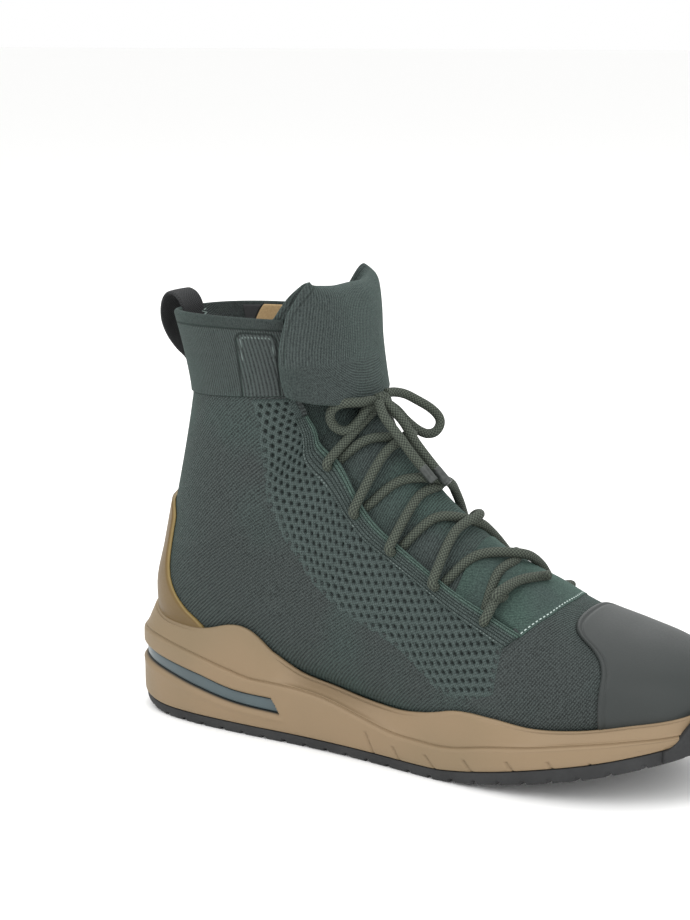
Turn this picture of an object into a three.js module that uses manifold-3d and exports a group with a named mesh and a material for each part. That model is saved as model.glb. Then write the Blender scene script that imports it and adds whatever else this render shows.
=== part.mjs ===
// A high knit sneaker for the right foot: a sock-like upper on a sculpted foam midsole, a rubber outsole
// that climbs over the toe, a heel window, a rubber toe cap, a heel counter, and a tongue that is folded
// down over the knot of the laces.
//
// Millimetres. X runs from heel to toe, Y to the inner side of the foot, and Z up from the floor.

import * as THREE from "three";
import { mergeVertices } from "three/addons/utils/BufferGeometryUtils.js";
import Module from "manifold-3d";

const wasm = await Module();
wasm.setup();

// The frame: the origin is on the floor, under the middle of the heel.
const heelCentre = 45;

// The sole.
const soleLength = 306;
const soleStart = -6;
const soleWidth = 105;
const heelStack = 27;
const foreStack = 13;
const toeSpring = 24;
const springStart = soleStart + 0.6013 * soleLength;
const heelBevel = 6;
const treadLift = 4;
const bevelLength = 31;
const bevelStart = soleStart + bevelLength;
const archRise = 0.3;
const archStart = soleStart + 0.34 * soleLength;
const archEnd = soleStart + 0.497 * soleLength;
const wrapHeight = 56;
const lipThickness = 3;
const heelTread = 5.5;
const foreTread = 7.2;
const insoleThickness = 4.5;
const insoleMargin = 20;
const finestEdge = 0.03; // shorter edges that the cuts leave are closed
const lastingMargin = 8;
const bumperReach = 17;
const bumperClimb = 8;
const bumperStart = soleStart + soleLength - bumperReach;
const bumperThickness = 3;

// The upper and the last that it was made on.
const heelMargin = 14;
const toeMargin = 6;
const upperLength = soleLength - heelMargin - toeMargin;
const upperStart = soleStart + heelMargin;
const ballWidth = 92;
const ankleWidth = 73;
const instepRise = 134;
const collarHeight = 200;
const shaftRise = 40;
const toeSkew = 9;
const knitWall = 2.6;
const throatCut = 7;
const bandStart = 17.8;
const bandThickness = 0.8;

// The window in the heel.
const windowReach = 0.317 * soleLength;
const windowSlant = 4.6;
const windowDepth = 5;
const windowRecess = 1.6;

// Grooves in the sole.
const treadPitch = 12;
const treadGroove = 2.6;
const treadDepth = 2.4;
const treadChevron = 9;
const slashWidth = 1.5;
const slashDepth = 1.3;

// Overlays on the upper.
const clearance = 0.3;
const capThickness = 1.7;
const capMiddle = 3;
const counterThickness = 1.9;
const eyestayThickness = 1.2;
const eyeletRadius = 2.6;
const tongueThickness = 3.2;
const tongueMargin = 0.035;
const tongueAcross = 10;

// The pull loop.
const strapWidth = 20;
const strapThickness = 1.7;

// The laces.
const laceDiameter = 4.6;
const strandTurn = 0.397;
const innerShift = -0.35; // rows from the lateral eyelets to the medial ones
const strandLift = -0.7;
const knotReach = [12.6, -37.8];
const knotSize = [3.6, 5.4, 3.9];

const clamp = THREE.MathUtils.clamp;
const mix = THREE.MathUtils.lerp;
const smoothstep = THREE.MathUtils.smoothstep;

// Sections of the last, from the toe tip along the foot, round the heel and up to the collar.
// Each runs in its own plane from a low point, on the sole line and then up the back, to a high point on
// the instep and the front of the shaft. backX and frontX are shares of the upper's length. backRise is a
// share of the height from the heel seat to the collar. frontRise counts 0 at the sole, 1 at the ankle and
// 2 at the collar. lateral and medial are shares of the half width, middle is a share of the toe's skew,
// belly says where the section is widest, and low and high say how square it is below and above that.
const lastColumns = [
  "backX", "backRise", "frontX", "frontRise", "lateral", "medial", "middle", "belly", "low", "high",
];
const lastTable = [
  [1.0, 0.025, 0.998, 0.08, 0.02, 0.02, 1.0, 0.5, 2.0, 2.0],
  [0.992, 0.008, 0.984, 0.15, 0.34, 0.3, 0.95, 0.46, 2.3, 2.2],
  [0.967, 0, 0.954, 0.208, 0.58, 0.54, 0.88, 0.42, 2.6, 2.2],
  [0.92, 0, 0.908, 0.27, 0.78, 0.73, 0.72, 0.4, 2.8, 2.2],
  [0.857, 0, 0.847, 0.335, 0.92, 0.87, 0.5, 0.38, 3.0, 2.2],
  [0.776, 0, 0.776, 0.415, 0.995, 0.955, 0.28, 0.36, 3.2, 2.1],
  [0.689, 0, 0.706, 0.53, 1.01, 0.945, 0.12, 0.34, 3.3, 1.95],
  [0.584, 0, 0.634, 0.655, 0.96, 0.88, 0, 0.33, 3.2, 1.85],
  [0.462, 0, 0.564, 0.765, 0.88, 0.81, 0, 0.33, 3.0, 1.85],
  [0.332, 0, 0.5, 0.862, 0.83, 0.79, 0, 0.34, 2.8, 1.9],
  [0.203, 0, 0.445, 0.94, 0.81, 0.79, 0, 0.36, 2.7, 2.0],
  [0.087, 0.003, 0.403, 0.992, 0.8, 0.79, 0, 0.38, 2.6, 2.1],
  [0.008, 0.065, 0.388, 1.03, 0.8, 0.79, 0, 0.41, 2.5, 2.15],
  [-0.012, 0.18, 0.381, 1.07, 0.8, 0.8, 0, 0.44, 2.4, 2.2],
  [0.004, 0.318, 0.375, 1.1, 0.79, 0.79, 0, 0.46, 2.3, 2.2],
  [0.022, 0.468, 0.37, 1.13, 0.78, 0.78, 0, 0.48, 2.2, 2.2],
  [0.042, 0.618, 0.367, 1.16, 0.775, 0.775, 0, 0.5, 2.2, 2.2],
  [0.058, 0.745, 0.365, 1.2, 0.78, 0.78, 0, 0.5, 2.2, 2.2],
  [0.06, 0.798, 0.363, 1.26, 0.76, 0.76, 0, 0.5, 2.2, 2.2],
  [0.048, 0.89, 0.363, 1.6, 0.77, 0.77, 0, 0.5, 2.2, 2.2],
  [0.028, 1.0, 0.367, 2.0, 0.79, 0.79, 0, 0.5, 2.2, 2.2],
];

// The sole's outline from above: x as a share of its length, lateral and medial as shares of its half width.
const outlineColumns = ["x", "lateral", "medial"];
const outlineTable = [
  [0, 0, 0],
  [0.007, -0.29, 0.29],
  [0.03, -0.51, 0.5],
  [0.072, -0.66, 0.65],
  [0.144, -0.755, 0.735],
  [0.242, -0.79, 0.755],
  [0.356, -0.8, 0.73],
  [0.471, -0.85, 0.72],
  [0.582, -0.935, 0.785],
  [0.683, -0.99, 0.895],
  [0.771, -0.97, 0.955],
  [0.853, -0.865, 0.945],
  [0.918, -0.665, 0.85],
  [0.964, -0.42, 0.685],
  [0.99, -0.16, 0.475],
  [1, 0.17, 0.17],
];

// The lines on the sole's side: the crease under the foam's wrap and the wrap's top edge, at shares of the
// sole's length. Both are heights above the tread's own line, as shares of the wrap's height.
const sideColumns = ["x", "crease", "rim"];
const sideTable = [
  [0, 0.74, 0.99],
  [0.06, 0.73, 0.89],
  [0.12, 0.68, 0.865],
  [0.165, 0.63, 0.88],
  [0.225, 0.56, 0.965],
  [0.26, 0.525, 0.93],
  [0.295, 0.52, 0.77],
  [0.345, 0.51, 0.6],
  [0.4, 0.475, 0.54],
  [0.46, 0.395, 0.49],
  [0.52, 0.32, 0.485],
  [0.57, 0.305, 0.53],
  [0.63, 0.3, 0.6],
  [0.69, 0.32, 0.55],
  [0.76, 0.31, 0.44],
  [0.83, 0.295, 0.38],
  [0.9, 0.255, 0.355],
  [0.96, 0.2, 0.32],
  [1, 0.17, 0.33],
];

// The heel window's lower and upper edge, as shares of the wrap's height, at shares of the sole's length.
const windowColumns = ["x", "low", "top"];
const windowTable = [
  [0, 0.49, 0.61],
  [0.077, 0.43, 0.547],
  [0.16, 0.338, 0.475],
  [0.227, 0.275, 0.4],
  [0.3, 0.255, 0.385],
  [0.36, 0.255, 0.385],
];

// The slanted cuts in the slab's side: where each starts along the sole, and its run forward and down as
// shares of the wrap's height.
const slashColumns = ["x", "top", "run"];
const slashTable = [
  [0.476, 0.285, 0.1],
  [0.527, 0.215, 0.085],
  [0.585, 0.215, 0.12],
  [0.653, 0.22, 0.1],
  [0.724, 0.215, 0.075],
  [0.787, 0.2, 0.055],
  [0.846, 0.15, 0.03],
];

function named(columns, table) {
  return table.map((row) => Object.fromEntries(columns.map((name, i) => [name, row[i]])));
}

// The value of a column at row number t, with a smooth curve through the rows.
function atRow(rows, key, t) {
  const last = rows.length - 1;
  const i = clamp(Math.floor(t), 0, last - 1);
  const [a, b, c, d] = [i - 1, i, i + 1, i + 2].map((k) => rows[clamp(k, 0, last)][key]);
  const u = t - i;
  const bend = (3 * b - a - 3 * c + d) * u + (2 * a - 5 * b + 4 * c - d);
  return b + 0.5 * u * (c - a + u * bend);
}

// The value of a column at a share x of the table's length.
function atShare(rows, key, x) {
  const last = rows.length - 1;
  let i = 0;
  while (i < last - 1 && rows[i + 1].x < x) i += 1;
  const u = clamp((x - rows[i].x) / (rows[i + 1].x - rows[i].x), 0, 1);
  return atRow(rows, key, i + u);
}

const outlineRows = named(outlineColumns, outlineTable);
const sideRows = named(sideColumns, sideTable);
const windowRows = named(windowColumns, windowTable);

// Heights along the sole.
function groundHeight(x) {
  const soleEnd = soleStart + soleLength;
  const spring = Math.max(0, (x - springStart) / (soleEnd - springStart)) ** 1.3;
  const arch = Math.sin(Math.PI * clamp((x - archStart) / (archEnd - archStart), 0, 1)) ** 2;
  return toeSpring * spring + heelBevel * heelLift(x) + archRise * arch;
}

function heelLift(x) {
  return clamp((bevelStart - x) / (bevelStart - soleStart), 0, 1) ** 2;
}

function springHeight(x) {
  const soleEnd = soleStart + soleLength;
  return toeSpring * Math.max(0, (x - springStart) / (soleEnd - springStart)) ** 1.3;
}

function seatHeight(x) {
  const share = (x - upperStart) / upperLength;
  return springHeight(x) + mix(heelStack, foreStack, smoothstep(share, 0.2, 0.68));
}

function treadHeight(x) {
  const share = (x - soleStart) / soleLength;
  const thickness = mix(heelTread, foreTread, smoothstep(share, 0.55, 0.8));
  return springHeight(x) + thickness + treadLift * heelLift(x);
}

const sideHeight = (key) => (x) => {
  const share = (x - soleStart) / soleLength;
  return springHeight(x) + wrapHeight * atShare(sideRows, key, share);
};
const creaseHeight = sideHeight("crease");
const rimHeight = sideHeight("rim");

function windowHeight(key, x) {
  return wrapHeight * atShare(windowRows, key, (x - soleStart) / soleLength);
}

// The last's sections in real sizes.
const lastRows = named(lastColumns, lastTable).map((row) => {
  const backX = upperStart + row.backX * upperLength;
  const frontX = upperStart + row.frontX * upperLength;
  const rise = Math.min(row.frontRise, 1) * instepRise + Math.max(row.frontRise - 1, 0) * shaftRise;
  const ankle = smoothstep(row.frontRise, 0.8, 1);
  const halfWidth = mix(ballWidth / 2, ankleWidth / 2 / 0.79, ankle);
  const foot = seatHeight(frontX) + rise;
  const shaft = collarHeight - (2 - row.frontRise) * shaftRise;
  return {
    backX,
    backZ: seatHeight(backX) + row.backRise * (collarHeight - heelStack),
    frontX,
    frontZ: row.frontRise > 1 ? shaft : mix(foot, collarHeight - shaftRise, ankle ** 3),
    lateral: row.lateral * halfWidth,
    medial: row.medial * halfWidth,
    middle: row.middle * toeSkew,
    belly: row.belly,
    low: row.low,
    high: row.high,
  };
});
const lastEnd = lastRows.length - 1;

// A point of the last: t is the row number, and turn goes once round the section, from its low point up
// the lateral side to the high point and down the medial side.
function lastPoint(t, turn) {
  const row = Object.fromEntries(Object.keys(lastRows[0]).map((key) => [key, atRow(lastRows, key, t)]));
  const angle = turn * 2 * Math.PI;
  const up = -Math.cos(angle);
  const out = Math.abs(Math.sin(angle));
  const power = 2 / (up < 0 ? row.low : row.high);
  const reach = Math.abs(up) ** power;
  const share = up < 0 ? row.belly * (1 - reach) : row.belly + (1 - row.belly) * reach;
  const side = turn < 0.5 ? -row.lateral : row.medial;
  return new THREE.Vector3(
    mix(row.backX, row.frontX, share),
    row.middle + side * out ** power,
    mix(row.backZ, row.frontZ, share),
  );
}

const roundSteps = 24;
const lastStations = [];
for (let i = 0; i <= 28; i += 1) lastStations.push((i / 28) * lastEnd);
lastStations.push(bandStart, bandStart + 0.12);
lastStations.sort((a, b) => a - b);

function lastNormal(t, turn) {
  const step = 0.02;
  const along = lastPoint(Math.min(t + step, lastEnd), turn).sub(lastPoint(Math.max(t - step, 0), turn));
  const round = lastPoint(t, (turn + step / 4) % 1).sub(lastPoint(t, (turn + 1 - step / 4) % 1));
  return round.cross(along).normalize();
}

// A point of the last grown by an offset. The collar band stands out by its own thickness.
function formPoint(t, turn, offset) {
  const raised = t > bandStart + 0.1 ? bandThickness : 0;
  return lastPoint(t, turn).addScaledVector(lastNormal(t, turn), offset + raised);
}

// A solid sheet between two grids of points, such as its two faces.
function sheetSolid(first, second) {
  const [rows, columns] = [first.length, first[0].length];
  const positions = [...first.flat(), ...second.flat()];
  const at = (face, i, j) => face * rows * columns + i * columns + j;
  const triangles = [];
  const quad = (a, b, c, d) => triangles.push(a, b, c, a, c, d);
  for (let i = 0; i < rows - 1; i += 1) {
    for (let j = 0; j < columns - 1; j += 1) {
      quad(at(0, i, j), at(0, i + 1, j), at(0, i + 1, j + 1), at(0, i, j + 1));
      quad(at(1, i, j), at(1, i, j + 1), at(1, i + 1, j + 1), at(1, i + 1, j));
    }
    const end = columns - 1;
    quad(at(0, i, 0), at(1, i, 0), at(1, i + 1, 0), at(0, i + 1, 0));
    quad(at(0, i, end), at(0, i + 1, end), at(1, i + 1, end), at(1, i, end));
  }
  for (let j = 0; j < columns - 1; j += 1) {
    const end = rows - 1;
    quad(at(0, 0, j), at(0, 0, j + 1), at(1, 0, j + 1), at(1, 0, j));
    quad(at(0, end, j), at(1, end, j), at(1, end, j + 1), at(0, end, j + 1));
  }
  return solidFrom(positions, triangles);
}

// A closed solid from rings of points, each ring with as many points, with a flat fan at each end.
function ringSolid(rings) {
  const count = rings[0].length;
  const positions = rings.flat();
  const middle = (ring) => ring.reduce((sum, p) => sum.add(p), new THREE.Vector3()).divideScalar(count);
  positions.push(middle(rings[0]), middle(rings.at(-1)));
  const first = positions.length - 2;
  const triangles = [];
  const at = (i, j) => i * count + (j % count);
  for (let j = 0; j < count; j += 1) {
    triangles.push(first, at(0, j), at(0, j + 1));
    triangles.push(first + 1, at(rings.length - 1, j + 1), at(rings.length - 1, j));
    for (let i = 0; i < rings.length - 1; i += 1) {
      triangles.push(at(i, j), at(i + 1, j), at(i, j + 1));
      triangles.push(at(i, j + 1), at(i + 1, j), at(i + 1, j + 1));
    }
  }
  return solidFrom(positions, triangles);
}

// A manifold-3d solid from points and triangles, turned right side out.
function solidFrom(positions, triangles) {
  const geometry = new THREE.BufferGeometry().setFromPoints(positions);
  geometry.setIndex(triangles);
  return solidOf(geometry);
}

function solidOf(geometry) {
  const bare = geometry.clone();
  bare.deleteAttribute("normal");
  bare.deleteAttribute("uv");
  const merged = mergeVertices(bare, 1e-4);
  const build = (triVerts) => new wasm.Manifold(
    new wasm.Mesh({ numProp: 3, vertProperties: merged.attributes.position.array, triVerts }),
  );
  const triVerts = new Uint32Array(merged.index.array);
  const made = build(triVerts);
  if (made.volume() > 0) return made;
  return build(triVerts.slice().reverse());
}

// The last grown or shrunk by an offset. extend carries the collar's end on upwards.
function lastForm(offset, extend = 0) {
  const rings = lastStations.map((t) => {
    const ring = [];
    for (let j = 0; j < roundSteps; j += 1) ring.push(formPoint(t, j / roundSteps, offset));
    return ring;
  });
  if (extend) rings.push(rings.at(-1).map((p) => p.clone().setZ(p.z + extend)));
  return ringSolid(rings);
}

// A prism with a flat outline. plane says which two axes the outline is drawn in.
function prism(outline, plane, from, to) {
  const shape = new THREE.Shape(outline.map(([a, b]) => new THREE.Vector2(a, b)));
  const geometry = new THREE.ExtrudeGeometry(shape, { depth: to - from, bevelEnabled: false });
  geometry.translate(0, 0, from);
  if (plane === "xz") geometry.rotateX(Math.PI / 2).scale(1, -1, 1);
  if (plane === "yz") {
    geometry.applyMatrix4(new THREE.Matrix4().set(0, 0, 1, 0, 1, 0, 0, 0, 0, 1, 0, 0, 0, 0, 0, 1));
  }
  return solidOf(geometry);
}

// The sole's outline. s runs from 0 at the heel's back to 1 at the toe, on either side.
const outlineEnd = outlineRows.length - 1;

function outlinePoint(s, side) {
  const t = clamp(s, 0, 1) * outlineEnd;
  return new THREE.Vector2(
    soleStart + soleLength * atRow(outlineRows, "x", t),
    (soleWidth / 2) * atRow(outlineRows, side, t),
  );
}

function outlineInward(s, side) {
  const step = 0.002;
  if (s < step) return new THREE.Vector2(1, 0);
  if (s > 1 - step) return new THREE.Vector2(-1, 0);
  const run = outlinePoint(s + step, side).sub(outlinePoint(s - step, side)).normalize();
  return side === "lateral" ? new THREE.Vector2(-run.y, run.x) : new THREE.Vector2(run.y, -run.x);
}

const soleSteps = 30;

// The sole's stations: the heel's back, along one side to the toe tip, and back along the other.
const soleRing = [];
for (let i = 0; i < soleSteps; i += 1) soleRing.push({ s: i / soleSteps, side: "lateral" });
for (let i = soleSteps; i > 0; i -= 1) soleRing.push({ s: i / soleSteps, side: "medial" });

// A point on the sole's wall, inset from the outline at a station, at a height that depends on x there.
function wallPoint(station, inset, height) {
  const edge = outlinePoint(station.s, station.side);
  const inward = outlineInward(station.s, station.side);
  const z = typeof height === "function" ? height(edge.x) : height;
  return new THREE.Vector3(edge.x + inward.x * inset, edge.y + inward.y * inset, z);
}

// A block with the sole's outline. Each level has an inset and a height at every station, from the bottom
// up, and its ends are closed by strips straight across.
function soleBlock(levels) {
  const count = soleRing.length;
  const positions = levels.flatMap((level) => soleRing.map((station) => {
    const inset = typeof level.inset === "function" ? level.inset(station) : level.inset;
    return wallPoint(station, inset, level.height);
  }));
  const triangles = [];
  const at = (level, j) => level * count + ((j + count) % count);
  const top = levels.length - 1;
  for (let level = 0; level < top; level += 1) {
    for (let j = 0; j < count; j += 1) {
      triangles.push(at(level, j), at(level + 1, j), at(level, j + 1));
      triangles.push(at(level, j + 1), at(level + 1, j), at(level + 1, j + 1));
    }
  }
  for (let j = 0; j < soleSteps; j += 1) {
    const [a, b] = [j, j + 1];
    triangles.push(at(0, a), at(0, b), at(0, -b), at(top, b), at(top, a), at(top, -b));
    if (a > 0) triangles.push(at(0, a), at(0, -b), at(0, -a), at(top, -b), at(top, a), at(top, -a));
  }
  return solidFrom(positions, triangles);
}

// The forms that the pieces are cut from.
const overlapCut = 10;
const outerForm = lastForm(0);
const innerForm = lastForm(-knitWall, overlapCut);
const clearForm = lastForm(clearance, overlapCut);

const lastMesh = new THREE.Mesh(geometryOf(outerForm));
lastMesh.material.side = THREE.DoubleSide;

function geometryOf(solid) {
  const { vertProperties, triVerts, numProp } = solid.getMesh();
  const points = new Float32Array((vertProperties.length / numProp) * 3);
  for (let i = 0; i < points.length / 3; i += 1) {
    for (let k = 0; k < 3; k += 1) points[i * 3 + k] = vertProperties[i * numProp + k];
  }
  const geometry = new THREE.BufferGeometry();
  geometry.setAttribute("position", new THREE.BufferAttribute(points, 3));
  geometry.setIndex(new THREE.BufferAttribute(new Uint32Array(triVerts), 1));
  return geometry.toNonIndexed();
}

// How far in from the outline the last lies at a station, at a height.
function gapToLast(station, z) {
  const edge = outlinePoint(station.s, station.side);
  const inward = outlineInward(station.s, station.side);
  const ray = new THREE.Raycaster(
    new THREE.Vector3(edge.x - inward.x * 5, edge.y - inward.y * 5, z),
    new THREE.Vector3(inward.x, inward.y, 0),
  );
  const hit = ray.intersectObject(lastMesh)[0];
  return hit ? hit.distance - 5 : 20;
}

// How far in the foam's wrap stands at a share of the way from the crease to the rim: it leans onto the
// last, and keeps its lip's thickness on it.
function wrapInset(share) {
  const raw = soleRing.map((station) => {
    const x = outlinePoint(station.s, station.side).x;
    const rim = gapToLast(station, rimHeight(x)) - lipThickness;
    const here = gapToLast(station, mix(creaseHeight(x), rimHeight(x), share)) - lipThickness;
    return Math.max(0.6, Math.min(mix(1.6, rim, share), here));
  });
  const count = raw.length;
  const insets = new Map(soleRing.map((station, i) => {
    const near = [-1, 0, 1].map((k) => raw[(i + k + count) % count]);
    return [station, Math.min(raw[i], (near[0] + near[1] + near[2]) / 3)];
  }));
  return (station) => insets.get(station);
}

// The foam midsole: a slab, a crease, and a wrap that climbs to its rim.
function makeWall() {
  const above = (line, by) => (x) => line(x) + by;
  const atRim = wrapInset(1);
  const between = (share) => (x) => mix(creaseHeight(x), rimHeight(x), share);
  return soleBlock([
    { inset: 1.4, height: treadHeight },
    { inset: 0, height: above(treadHeight, 2.6) },
    { inset: 0.2, height: above(creaseHeight, -3) },
    { inset: 0.9, height: above(creaseHeight, -0.8) },
    { inset: 2.1, height: creaseHeight },
    { inset: 1.6, height: above(creaseHeight, 1.2) },
    { inset: wrapInset(0.45), height: between(0.45) },
    { inset: wrapInset(0.75), height: between(0.75) },
    { inset: atRim, height: above(rimHeight, -0.9) },
    { inset: (station) => atRim(station) + 0.8, height: rimHeight },
  ]);
}

// A band that follows the outline through a run of stations, from an inset to a deeper one.
function soleBand(stations, outer, inner, low, high) {
  const sections = stations.map(([lowStation, highStation]) => [
    wallPoint(lowStation, outer, low),
    wallPoint(highStation, outer, high),
    wallPoint(highStation, inner, high),
    wallPoint(lowStation, inner, low),
  ]);
  return ringSolid(sections);
}

function stationAt(x, side) {
  let [low, high] = [0, 1];
  for (let i = 0; i < 40; i += 1) {
    const s = (low + high) / 2;
    if (outlinePoint(s, side).x < x) low = s;
    else high = s;
  }
  return { s: (low + high) / 2, side };
}

// Stations round one end of the sole, from x on the lateral side to x on the medial side.
function stationsRound(end, reach, steps) {
  const run = [];
  for (let i = -steps; i <= steps; i += 1) {
    const side = i < 0 ? "lateral" : "medial";
    const stop = stationAt(reach, side).s;
    const share = Math.abs(i) / steps;
    run.push({ s: end === "heel" ? stop * share : mix(1, stop, share), side });
  }
  return run;
}

// The window's slot or its insert: the low edge reaches further forward than the top.
function windowBand(outer, inner, grow) {
  const steps = 16;
  const lows = stationsRound("heel", windowReach + soleStart + grow, steps);
  const tops = stationsRound("heel", windowReach + soleStart - windowSlant + grow, steps);
  const low = (x) => windowHeight("low", x) - grow;
  const top = (x) => windowHeight("top", x) + grow;
  return soleBand(lows.map((station, i) => [station, tops[i]]), outer, inner, low, top);
}

// The part of the outsole that climbs over the toe.
function bumperBand(outer, inner, grow) {
  const stations = stationsRound("toe", bumperStart - grow, 12);
  const top = (x) => mix(treadHeight(x), rimHeight(x) + 0.8, smoothstep(x, bumperStart, bumperStart + bumperClimb)) + grow;
  const low = (x) => groundHeight(x) + 1.5 - 4 * grow;
  return soleBand(stations.map((station) => [station, station]), outer, inner, low, top);
}

function makeMidsole(wall) {
  let midsole = wall.subtract(clearForm);
  midsole = midsole.subtract(windowBand(-3, windowDepth, 0));
  midsole = midsole.subtract(bumperBand(-4, bumperThickness + clearance - 1, clearance));
  for (const slash of named(slashColumns, slashTable)) {
    for (const side of ["lateral", "medial"]) midsole = midsole.subtract(slashCut(slash, side));
  }
  return midsole;
}

function slashCut(slash, side) {
  const x = soleStart + slash.x * soleLength;
  const station = stationAt(x, side);
  const start = wallPoint(station, 0, springHeight(x) + slash.top * wrapHeight);
  const run = slash.run * wrapHeight;
  const end = wallPoint(stationAt(x + run, side), 0, treadHeight(x + run) - 1);
  const inward = outlineInward(station.s, side);
  const deep = new THREE.Vector3(inward.x, inward.y, 0);
  const line = end.clone().sub(start);
  const across = line.clone().cross(deep).normalize().multiplyScalar(slashWidth / 2);
  const ring = (p) => [
    p.clone().addScaledVector(deep, -2).add(across),
    p.clone().addScaledVector(deep, slashDepth),
    p.clone().addScaledVector(deep, -2).sub(across),
  ];
  return ringSolid([ring(start), ring(end)]);
}

function makeOutsole() {
  let outsole = soleBlock([
    { inset: 2.6, height: groundHeight },
    { inset: 1.5, height: (x) => groundHeight(x) + 1.2 },
    { inset: 1.2, height: (x) => treadHeight(x) - clearance },
  ]);
  outsole = outsole.add(bumperBand(-1, bumperThickness - 1, 0));
  const soleEnd = soleStart + soleLength;
  for (let x = soleStart + treadPitch; x < soleEnd - treadPitch; x += treadPitch) {
    outsole = outsole.subtract(treadCut(x));
  }
  return outsole;
}

// One chevron groove across the tread.
function treadCut(x) {
  const half = soleWidth / 2 + 6;
  const wide = treadGroove / 2;
  const outline = [
    [x - wide, -half], [x + wide, -half], [x + wide + treadChevron, 0], [x + wide, half],
    [x - wide, half], [x - wide + treadChevron, 0],
  ];
  const top = Math.min(groundHeight(x - 4), groundHeight(x + treadChevron + 2)) + treadDepth;
  return prism(outline, "xy", -5, top);
}

function makeInsole() {
  const inside = lastForm(-knitWall - clearance, overlapCut).add(bottomCut(clearance));
  const footbed = [];
  const steps = 30;
  const end = upperStart + upperLength - insoleMargin;
  for (let i = 0; i <= steps; i += 1) {
    const x = mix(upperStart, end, i / steps);
    footbed.push([x, seatHeight(x) + insoleThickness]);
  }
  footbed.push([end, 0], [upperStart - overlapCut, 0]);
  footbed.unshift([upperStart - overlapCut, seatHeight(upperStart) + insoleThickness]);
  const under = prism(footbed, "xz", -soleWidth, soleWidth);
  return mainBody(inside.intersect(outerForm).intersect(under)).asOriginal().simplify(finestEdge);
}

// The throat's edge and the eyestay's outer edge, as turns on the lateral side, at rows of the last.
const throatColumns = ["row", "edge", "rib"];
const throatTable = [
  [5.6, 0.366, 0.331],
  [6.6, 0.37, 0.342],
  [7.6, 0.368, 0.346],
  [8.5, 0.368, 0.347],
  [9.5, 0.369, 0.346],
  [10.7, 0.388, 0.36],
  [13.4, 0.39, 0.368],
  [16, 0.37, 0.348],
  [18, 0.35, 0.328],
  [20, 0.335, 0.31],
];
const throatRows = named(throatColumns, throatTable);
const throatEnd = throatRows.length - 1;
const [throatFront, throatBack] = [throatTable[0][0], throatTable[throatEnd][0]];

function throatTurn(key, t) {
  let i = 0;
  while (i < throatEnd - 1 && throatRows[i + 1].row < t) i += 1;
  const u = (t - throatRows[i].row) / (throatRows[i + 1].row - throatRows[i].row);
  return atRow(throatRows, key, i + clamp(u, 0, 1));
}

// A sheet on the last between two rows and two turns that may vary along it.
function patch(fromRow, toRow, steps, low, high, across, inner, outer) {
  const face = (offset) => {
    const rows = [];
    for (let i = 0; i <= steps; i += 1) {
      const t = mix(fromRow, toRow, i / steps);
      const row = [];
      for (let j = 0; j <= across; j += 1) row.push(formPoint(t, mix(low(t), high(t), j / across), offset));
      rows.push(row);
    }
    return rows;
  };
  return sheetSolid(face(inner), face(outer));
}

// The eyelets, from the lowest to the top one: the row of the last and the turn on the lateral side.
const eyeletColumns = ["row", "turn"];
const eyeletTable = [
  [6.52, 0.357],
  [7.62, 0.358],
  [8.62, 0.357],
  [9.55, 0.357],
  [10.7, 0.376],
];
const eyelets = named(eyeletColumns, eyeletTable);

function eyeletHole(row, turn) {
  const drill = new THREE.CylinderGeometry(eyeletRadius, eyeletRadius, 14, 8);
  const out = lastNormal(row, turn);
  drill.applyQuaternion(new THREE.Quaternion().setFromUnitVectors(new THREE.Vector3(0, 1, 0), out));
  drill.translate(...lastPoint(row, turn).toArray());
  return solidOf(drill);
}

function cutEyelets(solid) {
  let cut = solid;
  for (const eyelet of eyelets) {
    cut = cut.subtract(eyeletHole(eyelet.row, eyelet.turn));
    cut = cut.subtract(eyeletHole(eyelet.row + innerShift, 1 - eyelet.turn));
  }
  return cut;
}

// The upper: a hollow shell, open at the collar, at the throat and underneath.
function makeUpper() {
  const edge = (t) => throatTurn("edge", t);
  const throat = patch(throatFront, throatBack, 16, edge, (t) => 1 - edge(t), 4, -throatCut, throatCut);
  const shell = outerForm.subtract(innerForm).subtract(bottomCut(0));
  return cutEyelets(mainBody(shell.subtract(throat.add(throat.translate([0, 0, 3])))));
}

function mainBody(solid) {
  return solid.decompose().sort((a, b) => b.volume() - a.volume())[0];
}

// The opening under the foot, inside the margin that is glued to the sole.
function bottomCut(shrink) {
  return lastForm(-lastingMargin - shrink).translate([0, 0, -lastingMargin - 1]);
}

function makeEyestay(side) {
  const turn = (value) => (side === "lateral" ? value : 1 - value);
  const [from, to] = [throatFront + 0.3, 13.6];
  const low = (t) => turn(throatTurn("rib", t));
  const high = (t) => turn(throatTurn("edge", t));
  const outer = clearance + eyestayThickness;
  return cutEyelets(patch(from, to, 14, low, high, 2, -1, outer).subtract(clearForm));
}

// The toe cap's rear edge from above, on the lateral side: x as a share of the upper's length, y as a share
// of the half width. The medial side mirrors it about the toe's middle.
const capColumns = ["x", "y"];
const capTable = [
  [0.783, 0],
  [0.784, -0.37],
  [0.796, -0.52],
  [0.823, -0.58],
  [0.844, -0.67],
  [0.855, -0.77],
  [0.86, -1.3],
];

function makeToeCap() {
  const half = named(capColumns, capTable).map((row) => [
    upperStart + row.x * upperLength,
    row.y * (ballWidth / 2),
  ]);
  const front = upperStart + upperLength + 2 * overlapCut;
  const outline = [
    ...half.map(([x, y]) => [x, capMiddle - y]).reverse(),
    ...half.slice(1).map(([x, y]) => [x, capMiddle + y]),
    [front, capMiddle + half.at(-1)[1]],
    [front, capMiddle - half.at(-1)[1]],
  ];
  return overlay(capThickness, prism(outline, "xy", 0, collarHeight));
}

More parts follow.
